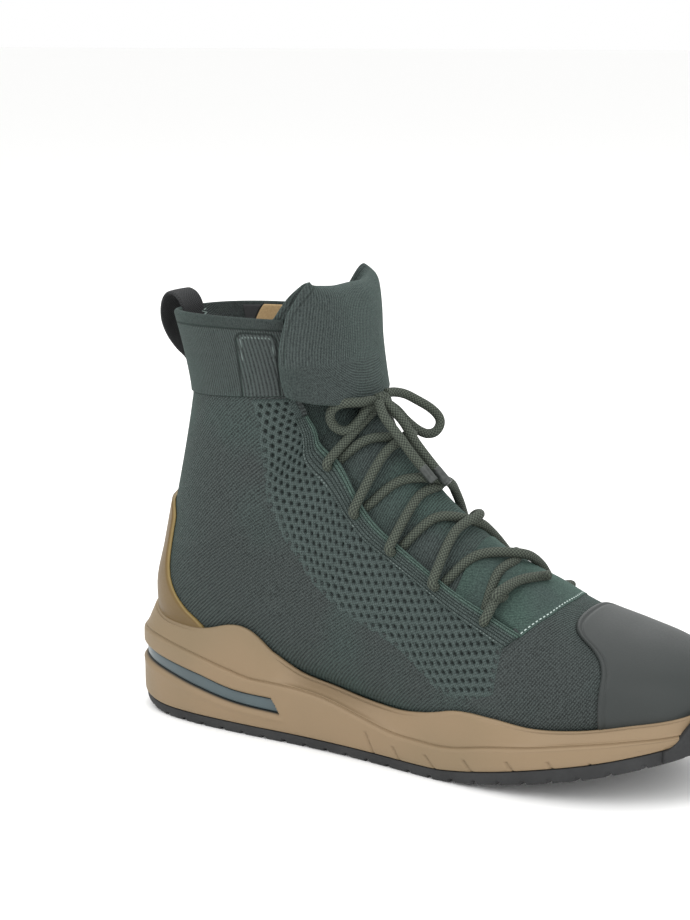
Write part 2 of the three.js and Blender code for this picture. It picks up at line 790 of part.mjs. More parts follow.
// An overlay inside a region, above the sole's rim.
function overlay(thickness, region) {
  return lastForm(clearance + thickness)
    .subtract(clearForm)
    .intersect(region)
    .subtract(wall)
    .subtract(wall.translate([0, 0, clearance]))
    .subtract(soleBlock([
      { inset: -overlapCut, height: -1 },
      { inset: -overlapCut, height: (x) => rimHeight(x) - lipThickness },
    ]));
}

// The heel counter's front edge from the side: x as a share of the upper's length, z as a share of the
// collar's height.
const counterColumns = ["x", "z"];
const counterTable = [
  [-0.06, 0.556],
  [0.02, 0.551],
  [0.046, 0.538],
  [0.06, 0.512],
  [0.057, 0.47],
  [0.054, 0.42],
  [0.055, 0.36],
  [0.068, 0.32],
  [0.09, 0.285],
  [0.118, 0.255],
  [0.128, 0.235],
  [0.128, 0.2],
  [-0.06, 0.2],
];

function makeCounter() {
  const outline = named(counterColumns, counterTable).map((row) => [
    upperStart + row.x * upperLength,
    row.z * collarHeight,
  ]);
  return overlay(counterThickness, prism(outline, "xz", -soleWidth, soleWidth));
}

// The tongue: a leaf under the throat, then rows that rise over the collar, turn outwards and hang down in
// front. front is a reach beyond the shaft's front, side one beyond its middle, less how much of that the
// far side lacks, width a share of the ankle's half width, and rise a height over the collar at the front
// and at the side.
const flapColumns = ["front", "side", "less", "width", "frontRise", "sideRise"];
const flapTable = [
  [-8, 21, 0, 0.84, 6, 5],
  [-8, 28, 2, 0.84, 13, 14],
  [-6.5, 36, 6, 0.86, 18, 20.5],
  [-3.5, 40, 9, 0.92, 19.5, 22],
  [0, 38, 9, 0.98, 15.5, 18],
  [2.6, 31, 5, 1.02, 5, 6],
  [3.2, 27, 1.5, 1.03, -9, -10],
  [4.4, 28, 0, 1.04, -22, -23],
  [6, 31, 0, 1.04, -33.6, -31],
];

function makeTongue() {
  const rows = [];
  const leafSteps = 13;
  const [from, to] = [throatFront - 0.35, lastEnd - 0.15];
  const inset = knitWall + clearance + tongueThickness / 2 + 1;
  for (let i = 0; i <= leafSteps; i += 1) {
    const t = mix(from, to, i / leafSteps);
    const edge = throatTurn("edge", t) - tongueMargin;
    const row = [];
    for (let j = 0; j <= tongueAcross; j += 1) {
      const turn = mix(edge, 1 - edge, j / tongueAcross);
      const raised = t > bandStart + 0.1 ? bandThickness : 0;
      row.push(formPoint(t, turn, -inset - raised));
    }
    rows.push(row);
  }
  const shaft = lastPoint(lastEnd, 0.5);
  const middle = (shaft.x + lastPoint(lastEnd, 0).x) / 2;
  for (const flap of named(flapColumns, flapTable)) {
    const row = [];
    for (let j = 0; j <= tongueAcross; j += 1) {
      const angle = mix(-Math.PI / 2, Math.PI / 2, j / tongueAcross);
      const bow = Math.cos(angle) ** 0.8;
      row.push(new THREE.Vector3(
        mix(middle + flap.side - (angle > 0 ? flap.less : 0), shaft.x + flap.front, bow),
        (flap.width * ankleWidth / 2) * Math.sin(angle),
        shaft.z + mix(flap.sideRise, flap.frontRise, bow),
      ));
    }
    rows.push(row);
  }
  return sheetFrom(rows, tongueThickness);
}

// A sheet of a thickness about a grid of points.
function sheetFrom(rows, thickness) {
  const [height, width] = [rows.length - 1, rows[0].length - 1];
  const face = (offset) => rows.map((row, i) => row.map((p, j) => {
    const along = rows[Math.min(i + 1, height)][j].clone().sub(rows[Math.max(i - 1, 0)][j]);
    const across = row[Math.min(j + 1, width)].clone().sub(row[Math.max(j - 1, 0)]);
    return p.clone().addScaledVector(along.cross(across).normalize(), offset);
  }));
  return sheetSolid(face(-thickness / 2), face(thickness / 2));
}

// The pull loop's path from inside the collar, over its rim, and down to the band at the back. Both are
// lengths from the rim's back edge: x forwards and z up.
const strapColumns = ["x", "z"];
const strapTable = [
  [7, -14],
  [4.8, -6],
  [3, 3],
  [-1.5, 8],
  [-7, 8.6],
  [-10.5, 4],
  [-11, -4],
  [-8, -11.5],
  [-3, -17.5],
  [2.5, -22],
  [6.6, -27],
];

function makePullLoop() {
  const rim = lastPoint(lastEnd, 0);
  const curve = new THREE.CatmullRomCurve3(named(strapColumns, strapTable).map((row) => (
    new THREE.Vector3(rim.x + row.x, 0, rim.z + row.z)
  )));
  const rows = [];
  for (let i = 0; i <= 18; i += 1) {
    const p = curve.getPoint(i / 18);
    rows.push([-0.5, -0.25, 0, 0.25, 0.5].map((share) => new THREE.Vector3(
      p.x + 5.6 * share ** 2, p.y + share * strapWidth, p.z,
    )));
  }
  const shell = lastForm(clearance, overlapCut).subtract(lastForm(-knitWall - clearance, 2 * overlapCut));
  return mainBody(sheetFrom(rows, strapThickness).subtract(shell.subtract(aboveCollar())));
}

function aboveCollar() {
  const z = lastPoint(lastEnd, 0).z + clearance;
  const [back, front, top] = [upperStart - soleWidth, upperStart + upperLength, z + collarHeight];
  return prism([[back, z], [front, z], [front, top], [back, top]], "xz", -soleWidth, soleWidth);
}

// A lace along points.
function laceTube(points, steps) {
  const path = new THREE.CatmullRomCurve3(points);
  const round = new THREE.Shape().absarc(0, 0, laceDiameter / 2, 0, 2 * Math.PI);
  return solidOf(new THREE.ExtrudeGeometry(round, {
    steps, bevelEnabled: false, extrudePath: path, curveSegments: 4,
  }));
}

// The laces over the throat. Each crossing has two strands between neighbouring rows of eyelets.
function strandRow(row, turn) {
  return row + innerShift * smoothstep(turn, 0.4, 0.56);
}

function laceStrand(from, to, low, high) {
  const points = [];
  for (let i = 0; i <= 6; i += 1) {
    const share = i / 6;
    const turn = mix(low, high, share);
    const lift = strandLift + 0.6 * Math.sin(Math.PI * share);
    points.push(formPoint(strandRow(mix(from, to, share), turn), turn, lift));
  }
  return laceTube(points, 7);
}

function makeCrossing(index) {
  const [lower, upper] = [eyelets[index].row, eyelets[index + 1].row];
  const turn = index === 3 ? strandTurn + 0.012 : strandTurn;
  return laceStrand(lower, upper, strandTurn, 1 - turn).add(laceStrand(lower, upper, 1 - strandTurn, turn));
}

// The laces' crossings: a bar over the lowest eyelets, a cross between each two rows, and the strands that
// run to the knot.
function makeLaces() {
  const low = eyelets[0].row - 0.12;
  let laces = laceStrand(low, low, strandTurn, 1 - strandTurn);
  for (let i = 0; i < eyelets.length - 1; i += 1) laces = laces.add(makeCrossing(i));
  for (const turn of [strandTurn + 0.012, 1 - strandTurn - 0.012]) {
    laces = laces.add(laceTube([
      formPoint(strandRow(eyelets.at(-1).row + 0.02, turn), turn, 2),
      formPoint(eyelets.at(-1).row - 0.1, mix(turn, 0.5, 0.5), 1.7),
      formPoint(eyelets.at(-1).row - 0.32, 0.5, 1.2),
    ], 4));
  }
  return laces;
}

// The knot, the loops and the ends. The loops' rows are lengths from the knot's centre.
const loopColumns = ["x", "y", "z"];
const loopTables = {
  lace_loop_near: [
    [3.5, -9, 0],
    [7, -11.5, -4],
    [8.5, -14.5, -9],
    [7, -18.5, -12.5],
    [3, -23, -11.5],
    [-0.5, -25.5, -7],
    [-1, -24.5, -2],
    [0, -20, 1],
    [1, -14, 2.4],
    [1.2, -9, 3.4],
  ],
  lace_loop_far: [
    [1, 10.8, 3],
    [5.5, 15.8, 2],
    [11, 21.5, 0],
    [16, 25.5, -4.5],
    [18, 27, -10.5],
    [16.5, 25, -15],
    [12.5, 21.5, -13.5],
    [8.5, 18, -9],
    [6.5, 14.5, -4.2],
    [4.5, 11.6, -1.4],
  ],
};

// The ends' rows are rows and turns of the last, and how far the lace lies above it.
const endColumns = ["row", "turn", "above"];
const endTables = {
  lace_end_near: [
    [10.6, 0.49, 6.6],
    [10.3, 0.485, 5.6],
    [9.9, 0.48, 5],
    [9.5, 0.475, 5],
    [9.1, 0.471, 5],
    [8.65, 0.468, 4.8],
  ],
  lace_end_far: [
    [10.6, 0.522, 6.6],
    [10.3, 0.524, 5.6],
    [9.9, 0.527, 5],
    [9.5, 0.529, 5],
    [9.1, 0.53, 5],
    [8.65, 0.53, 4.8],
  ],
};

function knotCentre() {
  const collar = lastPoint(lastEnd, 0.5);
  return new THREE.Vector3(collar.x + knotReach[0], 0, collar.z + knotReach[1]);
}

function makeLoop(name) {
  const knot = knotCentre();
  return laceTube(named(loopColumns, loopTables[name]).map((row) => (
    new THREE.Vector3(knot.x + row.x, knot.y + row.y, knot.z + row.z)
  )), 20);
}

function makeEnd(name) {
  return laceTube(named(endColumns, endTables[name]).map((row) => (
    formPoint(row.row, row.turn, row.above)
  )), 10);
}

function makeKnot() {
  const knot = knotCentre();
  const body = new THREE.SphereGeometry(1, 14, 10).scale(...knotSize).translate(...knot.toArray());
  return solidOf(body);
}

const wall = makeWall();
const upper = makeUpper();

const colours = {
  rubber: [0x242526, 0.8],
  foam: [0xa98f6d, 0.55],
  window: [0x4a5c5e, 0.35],
  insole: [0x2f3432, 0.9],
  knit: [0x3d4a46, 0.95],
  rib: [0x354340, 0.95],
  cap: [0x545b58, 0.5],
  counter: [0x9a7c4e, 0.45],
  webbing: [0x222324, 0.9],
  lace: [0x454a40, 0.9],
};

function mesh(name, colour, solid) {
  const [color, roughness] = colours[colour];
  const made = new THREE.Mesh(
    geometryOf(solid),
    new THREE.MeshStandardMaterial({ color, roughness, metalness: 0 }),
  );
  made.name = name;
  return made;
}

const shoe = new THREE.Group();
shoe.position.x = -heelCentre;

shoe.add(mesh("outsole", "rubber", makeOutsole()));
shoe.add(mesh("midsole", "foam", makeMidsole(wall)));
shoe.add(mesh("heel_window", "window", windowBand(windowRecess, windowDepth - clearance, -clearance)));
shoe.add(mesh("insole", "insole", makeInsole()));
shoe.add(mesh("upper", "knit", upper));
shoe.add(mesh("eyestay_lateral", "rib", makeEyestay("lateral")));
shoe.add(mesh("eyestay_medial", "rib", makeEyestay("medial")));
shoe.add(mesh("toe_cap", "cap", makeToeCap()));
shoe.add(mesh("heel_counter", "counter", makeCounter()));
shoe.add(mesh("tongue", "knit", makeTongue()));
shoe.add(mesh("pull_loop", "webbing", makePullLoop()));
shoe.add(mesh("lace_crossings", "lace", makeLaces()));
shoe.add(mesh("lace_knot", "lace", makeKnot()));
for (const name of Object.keys(loopTables)) shoe.add(mesh(name, "lace", makeLoop(name)));
for (const name of Object.keys(endTables)) shoe.add(mesh(name, "lace", makeEnd(name)));

export default shoe;
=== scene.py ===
import math
import bmesh
import bpy
import numpy as np
from mathutils import Matrix, Vector
from mathutils.bvhtree import BVHTree


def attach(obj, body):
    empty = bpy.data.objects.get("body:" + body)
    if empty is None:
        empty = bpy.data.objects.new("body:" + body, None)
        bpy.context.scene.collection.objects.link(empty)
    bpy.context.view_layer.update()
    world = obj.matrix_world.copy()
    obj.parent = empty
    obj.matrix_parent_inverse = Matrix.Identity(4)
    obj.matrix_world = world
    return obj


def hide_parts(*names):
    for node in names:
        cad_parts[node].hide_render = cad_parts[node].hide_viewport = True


# A high knit sneaker for the right foot. Shapes are worked out in millimetres along the sole, with x from
# the heel's back to the toe, y to the inner side of the foot and z up from the floor.

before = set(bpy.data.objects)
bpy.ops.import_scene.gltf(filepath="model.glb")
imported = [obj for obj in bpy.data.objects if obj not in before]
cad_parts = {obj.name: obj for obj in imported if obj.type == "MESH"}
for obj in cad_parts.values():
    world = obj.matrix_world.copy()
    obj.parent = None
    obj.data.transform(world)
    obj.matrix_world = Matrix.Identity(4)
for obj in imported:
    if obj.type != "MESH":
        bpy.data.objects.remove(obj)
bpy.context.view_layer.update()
print("frame loaded:", len(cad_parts), "nodes")

heelCentre = 45  # the frame's origin along the sole

camera = {
    "azimuth": 29.88,  # degrees from the shoe's side towards its toe
    "elevation": 12.63,
    "roll": -0.43,
    "distance": 0.97376,
    "aim": (0.05986, 0.0, 0.13274),
    "lens": 79.3,
}


def makeCamera(values):
    azimuth, elevation, roll = (math.radians(values[key]) for key in ("azimuth", "elevation", "roll"))
    back = Vector((math.sin(azimuth) * math.cos(elevation), -math.cos(azimuth) * math.cos(elevation),
                   math.sin(elevation)))
    right = Vector((math.cos(azimuth), math.sin(azimuth), 0))
    up = back.cross(right)
    turnedRight = math.cos(roll) * right + math.sin(roll) * up
    turnedUp = -math.sin(roll) * right + math.cos(roll) * up
    data = bpy.data.cameras.new("camera")
    data.lens = values["lens"]
    data.sensor_width = 36
    data.clip_start = 0.01
    made = bpy.data.objects.new("camera", data)
    place = Matrix((turnedRight, turnedUp, back)).transposed().to_4x4()
    place.translation = Vector(values["aim"]) + back * values["distance"]
    made.matrix_world = place
    bpy.context.scene.collection.objects.link(made)
    bpy.context.scene.camera = made


makeCamera(camera)
print("camera set")


last = {
    "length": 286, "start": 8, "ballWidth": 92, "ankleWidth": 73, "instep": 134, "collar": 200,
    "shaft": 40, "skew": 9, "wall": 2.6, "bandRow": 17.8, "bandThickness": 0.8,
}

sole = {
    "length": 306, "start": -6, "width": 105, "heelStack": 27, "foreStack": 13, "toeSpring": 24,
    "springStart": 178, "heelBevel": 6, "treadLift": 4, "bevelStart": 25, "archRise": 0.3,
    "archStart": 98, "archEnd": 146, "wrap": 56, "lip": 3, "heelTread": 5.5, "foreTread": 7.2,
}

# backX, backRise, frontX, frontRise, lateral, medial, middle, belly, low, high, from the toe to the collar
lastTable = np.array([
    [1.0, 0.025, 0.998, 0.08, 0.02, 0.02, 1.0, 0.5, 2.0, 2.0],
    [0.992, 0.008, 0.984, 0.15, 0.34, 0.3, 0.95, 0.46, 2.3, 2.2],
    [0.967, 0, 0.954, 0.208, 0.58, 0.54, 0.88, 0.42, 2.6, 2.2],
    [0.92, 0, 0.908, 0.27, 0.78, 0.73, 0.72, 0.4, 2.8, 2.2],
    [0.857, 0, 0.847, 0.335, 0.92, 0.87, 0.5, 0.38, 3.0, 2.2],
    [0.776, 0, 0.776, 0.415, 0.995, 0.955, 0.28, 0.36, 3.2, 2.1],
    [0.689, 0, 0.706, 0.53, 1.01, 0.945, 0.12, 0.34, 3.3, 1.95],
    [0.584, 0, 0.634, 0.655, 0.96, 0.88, 0, 0.33, 3.2, 1.85],
    [0.462, 0, 0.564, 0.765, 0.88, 0.81, 0, 0.33, 3.0, 1.85],
    [0.332, 0, 0.5, 0.862, 0.83, 0.79, 0, 0.34, 2.8, 1.9],
    [0.203, 0, 0.445, 0.94, 0.81, 0.79, 0, 0.36, 2.7, 2.0],
    [0.087, 0.003, 0.403, 0.992, 0.8, 0.79, 0, 0.38, 2.6, 2.1],
    [0.008, 0.065, 0.388, 1.03, 0.8, 0.79, 0, 0.41, 2.5, 2.15],
    [-0.012, 0.18, 0.381, 1.07, 0.8, 0.8, 0, 0.44, 2.4, 2.2],
    [0.004, 0.318, 0.375, 1.1, 0.79, 0.79, 0, 0.46, 2.3, 2.2],
    [0.022, 0.468, 0.37, 1.13, 0.78, 0.78, 0, 0.48, 2.2, 2.2],
    [0.042, 0.618, 0.367, 1.16, 0.775, 0.775, 0, 0.5, 2.2, 2.2],
    [0.058, 0.745, 0.365, 1.2, 0.78, 0.78, 0, 0.5, 2.2, 2.2],
    [0.06, 0.798, 0.363, 1.26, 0.76, 0.76, 0, 0.5, 2.2, 2.2],
    [0.048, 0.89, 0.363, 1.6, 0.77, 0.77, 0, 0.5, 2.2, 2.2],
    [0.028, 1.0, 0.367, 2.0, 0.79, 0.79, 0, 0.5, 2.2, 2.2],
])

# x, lateral, medial
outlineTable = np.array([
    [0, 0, 0], [0.007, -0.29, 0.29], [0.03, -0.51, 0.5], [0.072, -0.66, 0.65], [0.144, -0.755, 0.735],
    [0.242, -0.79, 0.755], [0.356, -0.8, 0.73], [0.471, -0.85, 0.72], [0.582, -0.935, 0.785],
    [0.683, -0.99, 0.895], [0.771, -0.97, 0.955], [0.853, -0.865, 0.945], [0.918, -0.665, 0.85],
    [0.964, -0.42, 0.685], [0.99, -0.16, 0.475], [1, 0.17, 0.17],
])

# x, crease, rim
sideTable = np.array([
    [0, 0.74, 0.99], [0.06, 0.73, 0.89], [0.12, 0.68, 0.865], [0.165, 0.63, 0.88], [0.225, 0.56, 0.965],
    [0.26, 0.525, 0.93], [0.295, 0.52, 0.77], [0.345, 0.51, 0.6], [0.4, 0.475, 0.54], [0.46, 0.395, 0.49],
    [0.52, 0.32, 0.485], [0.57, 0.305, 0.53], [0.63, 0.3, 0.6], [0.69, 0.32, 0.55], [0.76, 0.31, 0.44],
    [0.83, 0.295, 0.38], [0.9, 0.255, 0.355], [0.96, 0.2, 0.32], [1, 0.17, 0.33],
])

# x, low, top
windowTable = np.array([
    [0, 0.49, 0.61], [0.077, 0.43, 0.547], [0.16, 0.338, 0.475], [0.227, 0.275, 0.4], [0.3, 0.255, 0.385],
    [0.36, 0.255, 0.385],
])

# x, top, run
slashTable = [
    [0.476, 0.285, 0.1], [0.527, 0.215, 0.085], [0.585, 0.215, 0.12], [0.653, 0.22, 0.1],
    [0.724, 0.215, 0.075], [0.787, 0.2, 0.055], [0.846, 0.15, 0.03],
]


def mix(a, b, share):
    return a + (b - a) * share


def smooth(x, low, high):
    share = np.clip((x - low) / (high - low), 0, 1)
    return share * share * (3 - 2 * share)


def spline(rows, t):  # a smooth curve through rows, at row numbers t
    end = len(rows) - 1
    t = np.asarray(t, float)
    i = np.clip(np.floor(t).astype(int), 0, end - 1)
    u = (t - i)[..., None]
    a, b, c, d = (rows[np.clip(i + k, 0, end)] for k in (-1, 0, 1, 2))
    bend = (3 * b - a - 3 * c + d) * u + (2 * a - 5 * b + 4 * c - d)
    return b + 0.5 * u * (c - a + u * bend)


def byShare(rows, x):  # the other columns where the first one is x
    x = np.asarray(x, float)
    keys = rows[:, 0]
    i = np.clip(np.searchsorted(keys, x, side="left") - 1, 0, len(rows) - 2)
    u = np.clip((x - keys[i]) / (keys[i + 1] - keys[i]), 0, 1)
    return spline(rows[:, 1:], i + u)


def solve(test, low, high, steps=26):  # where test turns from below zero to above it
    low, high = (np.array(part, float) for part in np.broadcast_arrays(low, high))
    for _ in range(steps):
        middle = (low + high) / 2
        over = test(middle) > 0
        low, high = np.where(over, low, middle), np.where(over, middle, high)
    return (low + high) / 2


def soleShare(x):
    return (x - sole["start"]) / sole["length"]


def springHeight(x):
    reach = sole["start"] + sole["length"] - sole["springStart"]
    return sole["toeSpring"] * np.maximum(0, (x - sole["springStart"]) / reach) ** 1.3


def heelLift(x):
    return np.clip((sole["bevelStart"] - x) / (sole["bevelStart"] - sole["start"]), 0, 1) ** 2


def groundHeight(x):
    arch = np.sin(np.pi * np.clip((x - sole["archStart"]) / (sole["archEnd"] - sole["archStart"]), 0, 1)) ** 2
    return springHeight(x) + sole["heelBevel"] * heelLift(x) + sole["archRise"] * arch


def treadHeight(x):
    thickness = mix(sole["heelTread"], sole["foreTread"], smooth(soleShare(x), 0.55, 0.8))
    return springHeight(x) + thickness + sole["treadLift"] * heelLift(x)


def seatHeight(x):
    share = (x - last["start"]) / last["length"]
    return springHeight(x) + mix(sole["heelStack"], sole["foreStack"], smooth(share, 0.2, 0.68))


def creaseHeight(x):
    return springHeight(x) + sole["wrap"] * byShare(sideTable, soleShare(x))[..., 0]


def rimHeight(x):
    return springHeight(x) + sole["wrap"] * byShare(sideTable, soleShare(x))[..., 1]


def windowHeights(x):
    rows = sole["wrap"] * byShare(windowTable, soleShare(x))
    return rows[..., 0], rows[..., 1]


def makeLastRows():
    backX, backRise, frontX, frontRise, lateral, medial, middle, belly, low, high = lastTable.T
    backX = last["start"] + backX * last["length"]
    frontX = last["start"] + frontX * last["length"]
    rise = np.minimum(frontRise, 1) * last["instep"] + np.maximum(frontRise - 1, 0) * last["shaft"]
    ankle = smooth(frontRise, 0.8, 1)
    half = mix(last["ballWidth"] / 2, last["ankleWidth"] / 2 / 0.79, ankle)
    foot = mix(seatHeight(frontX) + rise, last["collar"] - last["shaft"], ankle ** 3)
    shaft = last["collar"] - (2 - frontRise) * last["shaft"]
    backZ = seatHeight(backX) + backRise * (last["collar"] - sole["heelStack"])
    frontZ = np.where(frontRise > 1, shaft, foot)
    return np.stack([backX, backZ, frontX, frontZ, lateral * half, medial * half, middle * last["skew"],
                     belly, low, high], 1)


lastRows = makeLastRows()
collarRow = len(lastRows) - 1


def lastPoint(t, turn):  # turn goes once round a section, up the lateral side and down the medial one
    t, turn = np.broadcast_arrays(np.asarray(t, float), np.asarray(turn, float))
    backX, backZ, frontX, frontZ, lateral, medial, middle, belly, low, high = np.moveaxis(
        spline(lastRows, np.clip(t, 0, collarRow)), -1, 0)
    angle = turn * 2 * np.pi
    up, out = -np.cos(angle), np.abs(np.sin(angle))
    power = 2 / np.where(up < 0, low, high)
    reach = np.abs(up) ** power
    share = np.where(up < 0, belly * (1 - reach), belly + (1 - belly) * reach)
    side = np.where(turn % 1 < 0.5, -lateral, medial)
    return np.stack([mix(backX, frontX, share), middle + side * out ** power, mix(backZ, frontZ, share)], -1)


def onSide(turn, side):  # a turn of the outer side, or its like on the inner side
    return turn if side > 0 else 1 - turn


def unit(vectors):
    return vectors / np.maximum(np.linalg.norm(vectors, axis=-1, keepdims=True), 1e-9)


def lastNormal(t, turn):
    step = 0.02
    t, turn = np.broadcast_arrays(np.asarray(t, float), np.asarray(turn, float))
    along = lastPoint(np.minimum(t + step, collarRow), turn) - lastPoint(np.maximum(t - step, 0), turn)
    around = lastPoint(t, (turn + step / 4) % 1) - lastPoint(t, (turn - step / 4) % 1)
    return unit(np.cross(around, along))


def formPoint(t, turn, offset):  # a point of the last grown by an offset, with the collar band's own step
    seam = last["bandRow"]
    grown = offset + last["bandThickness"] * smooth(np.asarray(t, float), seam + 0.02, seam + 0.1)
    grown = np.broadcast_to(grown, np.broadcast_shapes(np.shape(grown), np.shape(turn)))
    return lastPoint(t, turn) + lastNormal(t, turn) * grown[..., None]


def outlinePoint(s, side):  # s runs from the heel's back to the toe
    rows = spline(outlineTable, np.clip(s, 0, 1) * (len(outlineTable) - 1))
    y = np.where(np.asarray(side) < 0, rows[..., 1], rows[..., 2])
    return np.stack([sole["start"] + sole["length"] * rows[..., 0], sole["width"] / 2 * y], -1)


def outlineAt(x, side):  # how far along the outline a place along the sole is
    return solve(lambda s: outlinePoint(s, side)[..., 0] - x, 0.0 * x, 0.0 * x + 1)


def bellCurve(width):
    reach = int(width * 3) + 1
    kernel = np.exp(-0.5 * (np.arange(-reach, reach + 1) / width) ** 2)
    return reach, kernel / kernel.sum()


def softened(values, width):  # smoothed round a closed ring
    reach, kernel = bellCurve(width)
    wrapped = np.concatenate([values[-reach:], values, values[:reach]])
    return np.stack([np.convolve(column, kernel, "valid") for column in wrapped.T], 1)


def softenedLine(values, width):  # smoothed along a line with two ends
    reach, kernel = bellCurve(width)
    padded = np.concatenate([np.full(reach, values[0]), values, np.full(reach, values[-1])])
    return np.convolve(padded, kernel, "valid")


def inwardWays(ring, width):  # the directions into a closed ring, smoothed along it
    run = unit(np.roll(ring, -1, 0) - np.roll(ring, 1, 0))
    return unit(softened(np.stack([-run[:, 1], run[:, 0]], 1), width))


def soleRing(count):  # even stations round the sole from the heel's back, with their inward directions
    fine = np.linspace(0, 1, 1500)
    points = np.concatenate([outlinePoint(fine[:-1], -1), outlinePoint(fine[:0:-1], 1)])
    lengths = np.concatenate([[0], np.cumsum(np.linalg.norm(np.roll(points, -1, 0) - points, axis=1))])
    closed = np.concatenate([points, points[:1]])
    want = np.arange(count) / count * lengths[-1]
    ring = np.stack([np.interp(want, lengths, closed[:, k]) for k in (0, 1)], 1)
    ring = softened(ring, count * 2.2 / lengths[-1])
    return ring, inwardWays(ring, count * 1.5 / lengths[-1])


def shoe(points):  # millimetres along the sole to metres in the frame
    return (np.asarray(points, float) - [heelCentre, 0, 0]) / 1000


def gridQuads(rows, columns, start=0, closed=False):
    i = np.arange(rows - 1)[:, None]
    j = np.arange(columns if closed else columns - 1)[None]
    k = (j + 1) % columns
    at = [start + i * columns + j, start + (i + 1) * columns + j, start + (i + 1) * columns + k,
          start + i * columns + k]
    return np.stack([np.broadcast_to(a, (rows - 1, j.shape[1])).ravel() for a in at], 1)


def makePiece(name, points, quads, material, nodes=(), cloth=None, marks=None, weld=1e-6):
    points = shoe(np.asarray(points, float).reshape(-1, 3))
    quads = np.asarray(quads)
    mesh = bpy.data.meshes.new(name)
    mesh.from_pydata(points.tolist(), [], quads.tolist())
    if cloth is not None:
        layer = mesh.uv_layers.new(name="cloth")
        corners = np.empty(len(mesh.loops), np.int32)
        mesh.loops.foreach_get("vertex_index", corners)
        layer.data.foreach_set("uv", np.asarray(cloth, np.float32).reshape(-1, 2)[corners].ravel())
    for mark, values in (marks or {}).items():
        layer = mesh.attributes.new(mark, "FLOAT", "POINT")
        layer.data.foreach_set("value", np.asarray(values, np.float32).ravel())
    made = bpy.data.objects.new(name, mesh)
    bpy.context.scene.collection.objects.link(made)
    finishMesh(mesh, weld)
    mesh.materials.append(material)
    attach(made, "root")
    if nodes:
        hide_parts(*nodes)
    return made


def finishMesh(mesh, weld):  # joins doubled points, drops faces with no area and turns all faces outwards
    work = bmesh.new()
    work.from_mesh(mesh)
    bmesh.ops.remove_doubles(work, verts=work.verts, dist=weld)
    bmesh.ops.dissolve_degenerate(work, edges=work.edges, dist=weld)
    bmesh.ops.recalc_face_normals(work, faces=work.faces)
    for face in work.faces:
        face.smooth = True
    work.to_mesh(mesh)
    work.free()


def edgeShares(count, margin):  # shares from 0 to 1 with extra ones near both ends, for rounded edges
    near = margin * np.array([0, 0.04, 0.16, 0.36, 0.64])
    return np.concatenate([near, np.linspace(margin, 1 - margin, count), 1 - near[::-1]])


def rounded(distance, radius):  # how full a rounded edge is at a distance from it
    inside = np.clip(distance / radius, 0, 1)
    return np.sqrt(np.clip(1 - (1 - inside) ** 2, 0, 1))


def edgeRound(shares, margin):  # how full a sheet is there: 0 at the ends, 1 from a margin inwards
    return rounded(np.minimum(shares, 1 - shares), margin)


def twoFaces(front, back):  # the points and faces of a closed sheet between two grids
    rows, columns = front.shape[:2]
    size = rows * columns
    quads = [gridQuads(rows, columns), gridQuads(rows, columns, size)[:, ::-1]]
    edges = [[(i, 0) for i in range(rows)], [(i, columns - 1) for i in range(rows)][::-1],
             [(0, j) for j in range(columns)][::-1], [(rows - 1, j) for j in range(columns)]]
    strips = []
    for edge in edges:
        at = np.array([i * columns + j for i, j in edge])
        strips.append(np.stack([at[:-1], at[1:], at[1:] + size, at[:-1] + size], 1))
    return np.concatenate([front.reshape(-1, 3), back.reshape(-1, 3)]), np.concatenate(quads + strips)


def gridLengths(grid):  # lengths along the rows and along the columns, for patterns at their real size
    around = np.linalg.norm(np.diff(grid, axis=1), axis=2)
    along = np.linalg.norm(np.diff(grid, axis=0), axis=2)
    u = np.concatenate([np.zeros((grid.shape[0], 1)), np.cumsum(around, 1)], 1)
    v = np.concatenate([np.zeros((1, grid.shape[1])), np.cumsum(along, 0)], 0)
    return u, v


def raised(plan, z):  # points of a plan at their heights
    return np.concatenate([plan, z[..., None]], -1)


def gridNormal(grid):
    return unit(np.cross(np.gradient(grid, axis=0), np.gradient(grid, axis=1)))


def tube(path, radius, sides=16):  # a round cord along a path, with lengths round and along it
    path = np.asarray(path, float)
    run = unit(np.gradient(path, axis=0))
    side = unit(np.cross(run[0], [0.3, 0.1, 1.0]))
    frames = []
    for direction in run:  # carried along without twisting
        side = unit(side - direction * np.dot(side, direction))
        frames.append((side, np.cross(direction, side)))
    radii = np.broadcast_to(radius, len(path)).astype(float)
    angle = np.linspace(0, 2 * np.pi, sides + 1)
    grid = np.stack([
        point + r * (np.cos(angle)[:, None] * a + np.sin(angle)[:, None] * b)
        for point, r, (a, b) in zip(path, radii, frames)
    ])
    lengths = np.concatenate([[0], np.cumsum(np.linalg.norm(np.diff(path, axis=0), axis=1))])
    cloth = np.stack(np.broadcast_arrays(angle[None] / (2 * np.pi), lengths[:, None]), -1)
    cap = np.repeat(path[[0, -1]][:, None], sides + 1, 1)
    grid = np.concatenate([cap[:1], grid, cap[1:]])
    cloth = np.concatenate([cloth[:1], cloth, cloth[-1:]])
    return grid, gridQuads(*grid.shape[:2]), cloth


def curveThrough(points, steps):
    points = np.asarray(points, float)
    fine = spline(points, np.linspace(0, len(points) - 1, 40 * len(points)))
    lengths = np.concatenate([[0], np.cumsum(np.linalg.norm(np.diff(fine, axis=0), axis=1))])
    want = np.linspace(0, lengths[-1], steps)
    return np.stack([np.interp(want, lengths, fine[:, k]) for k in range(fine.shape[1])], 1)


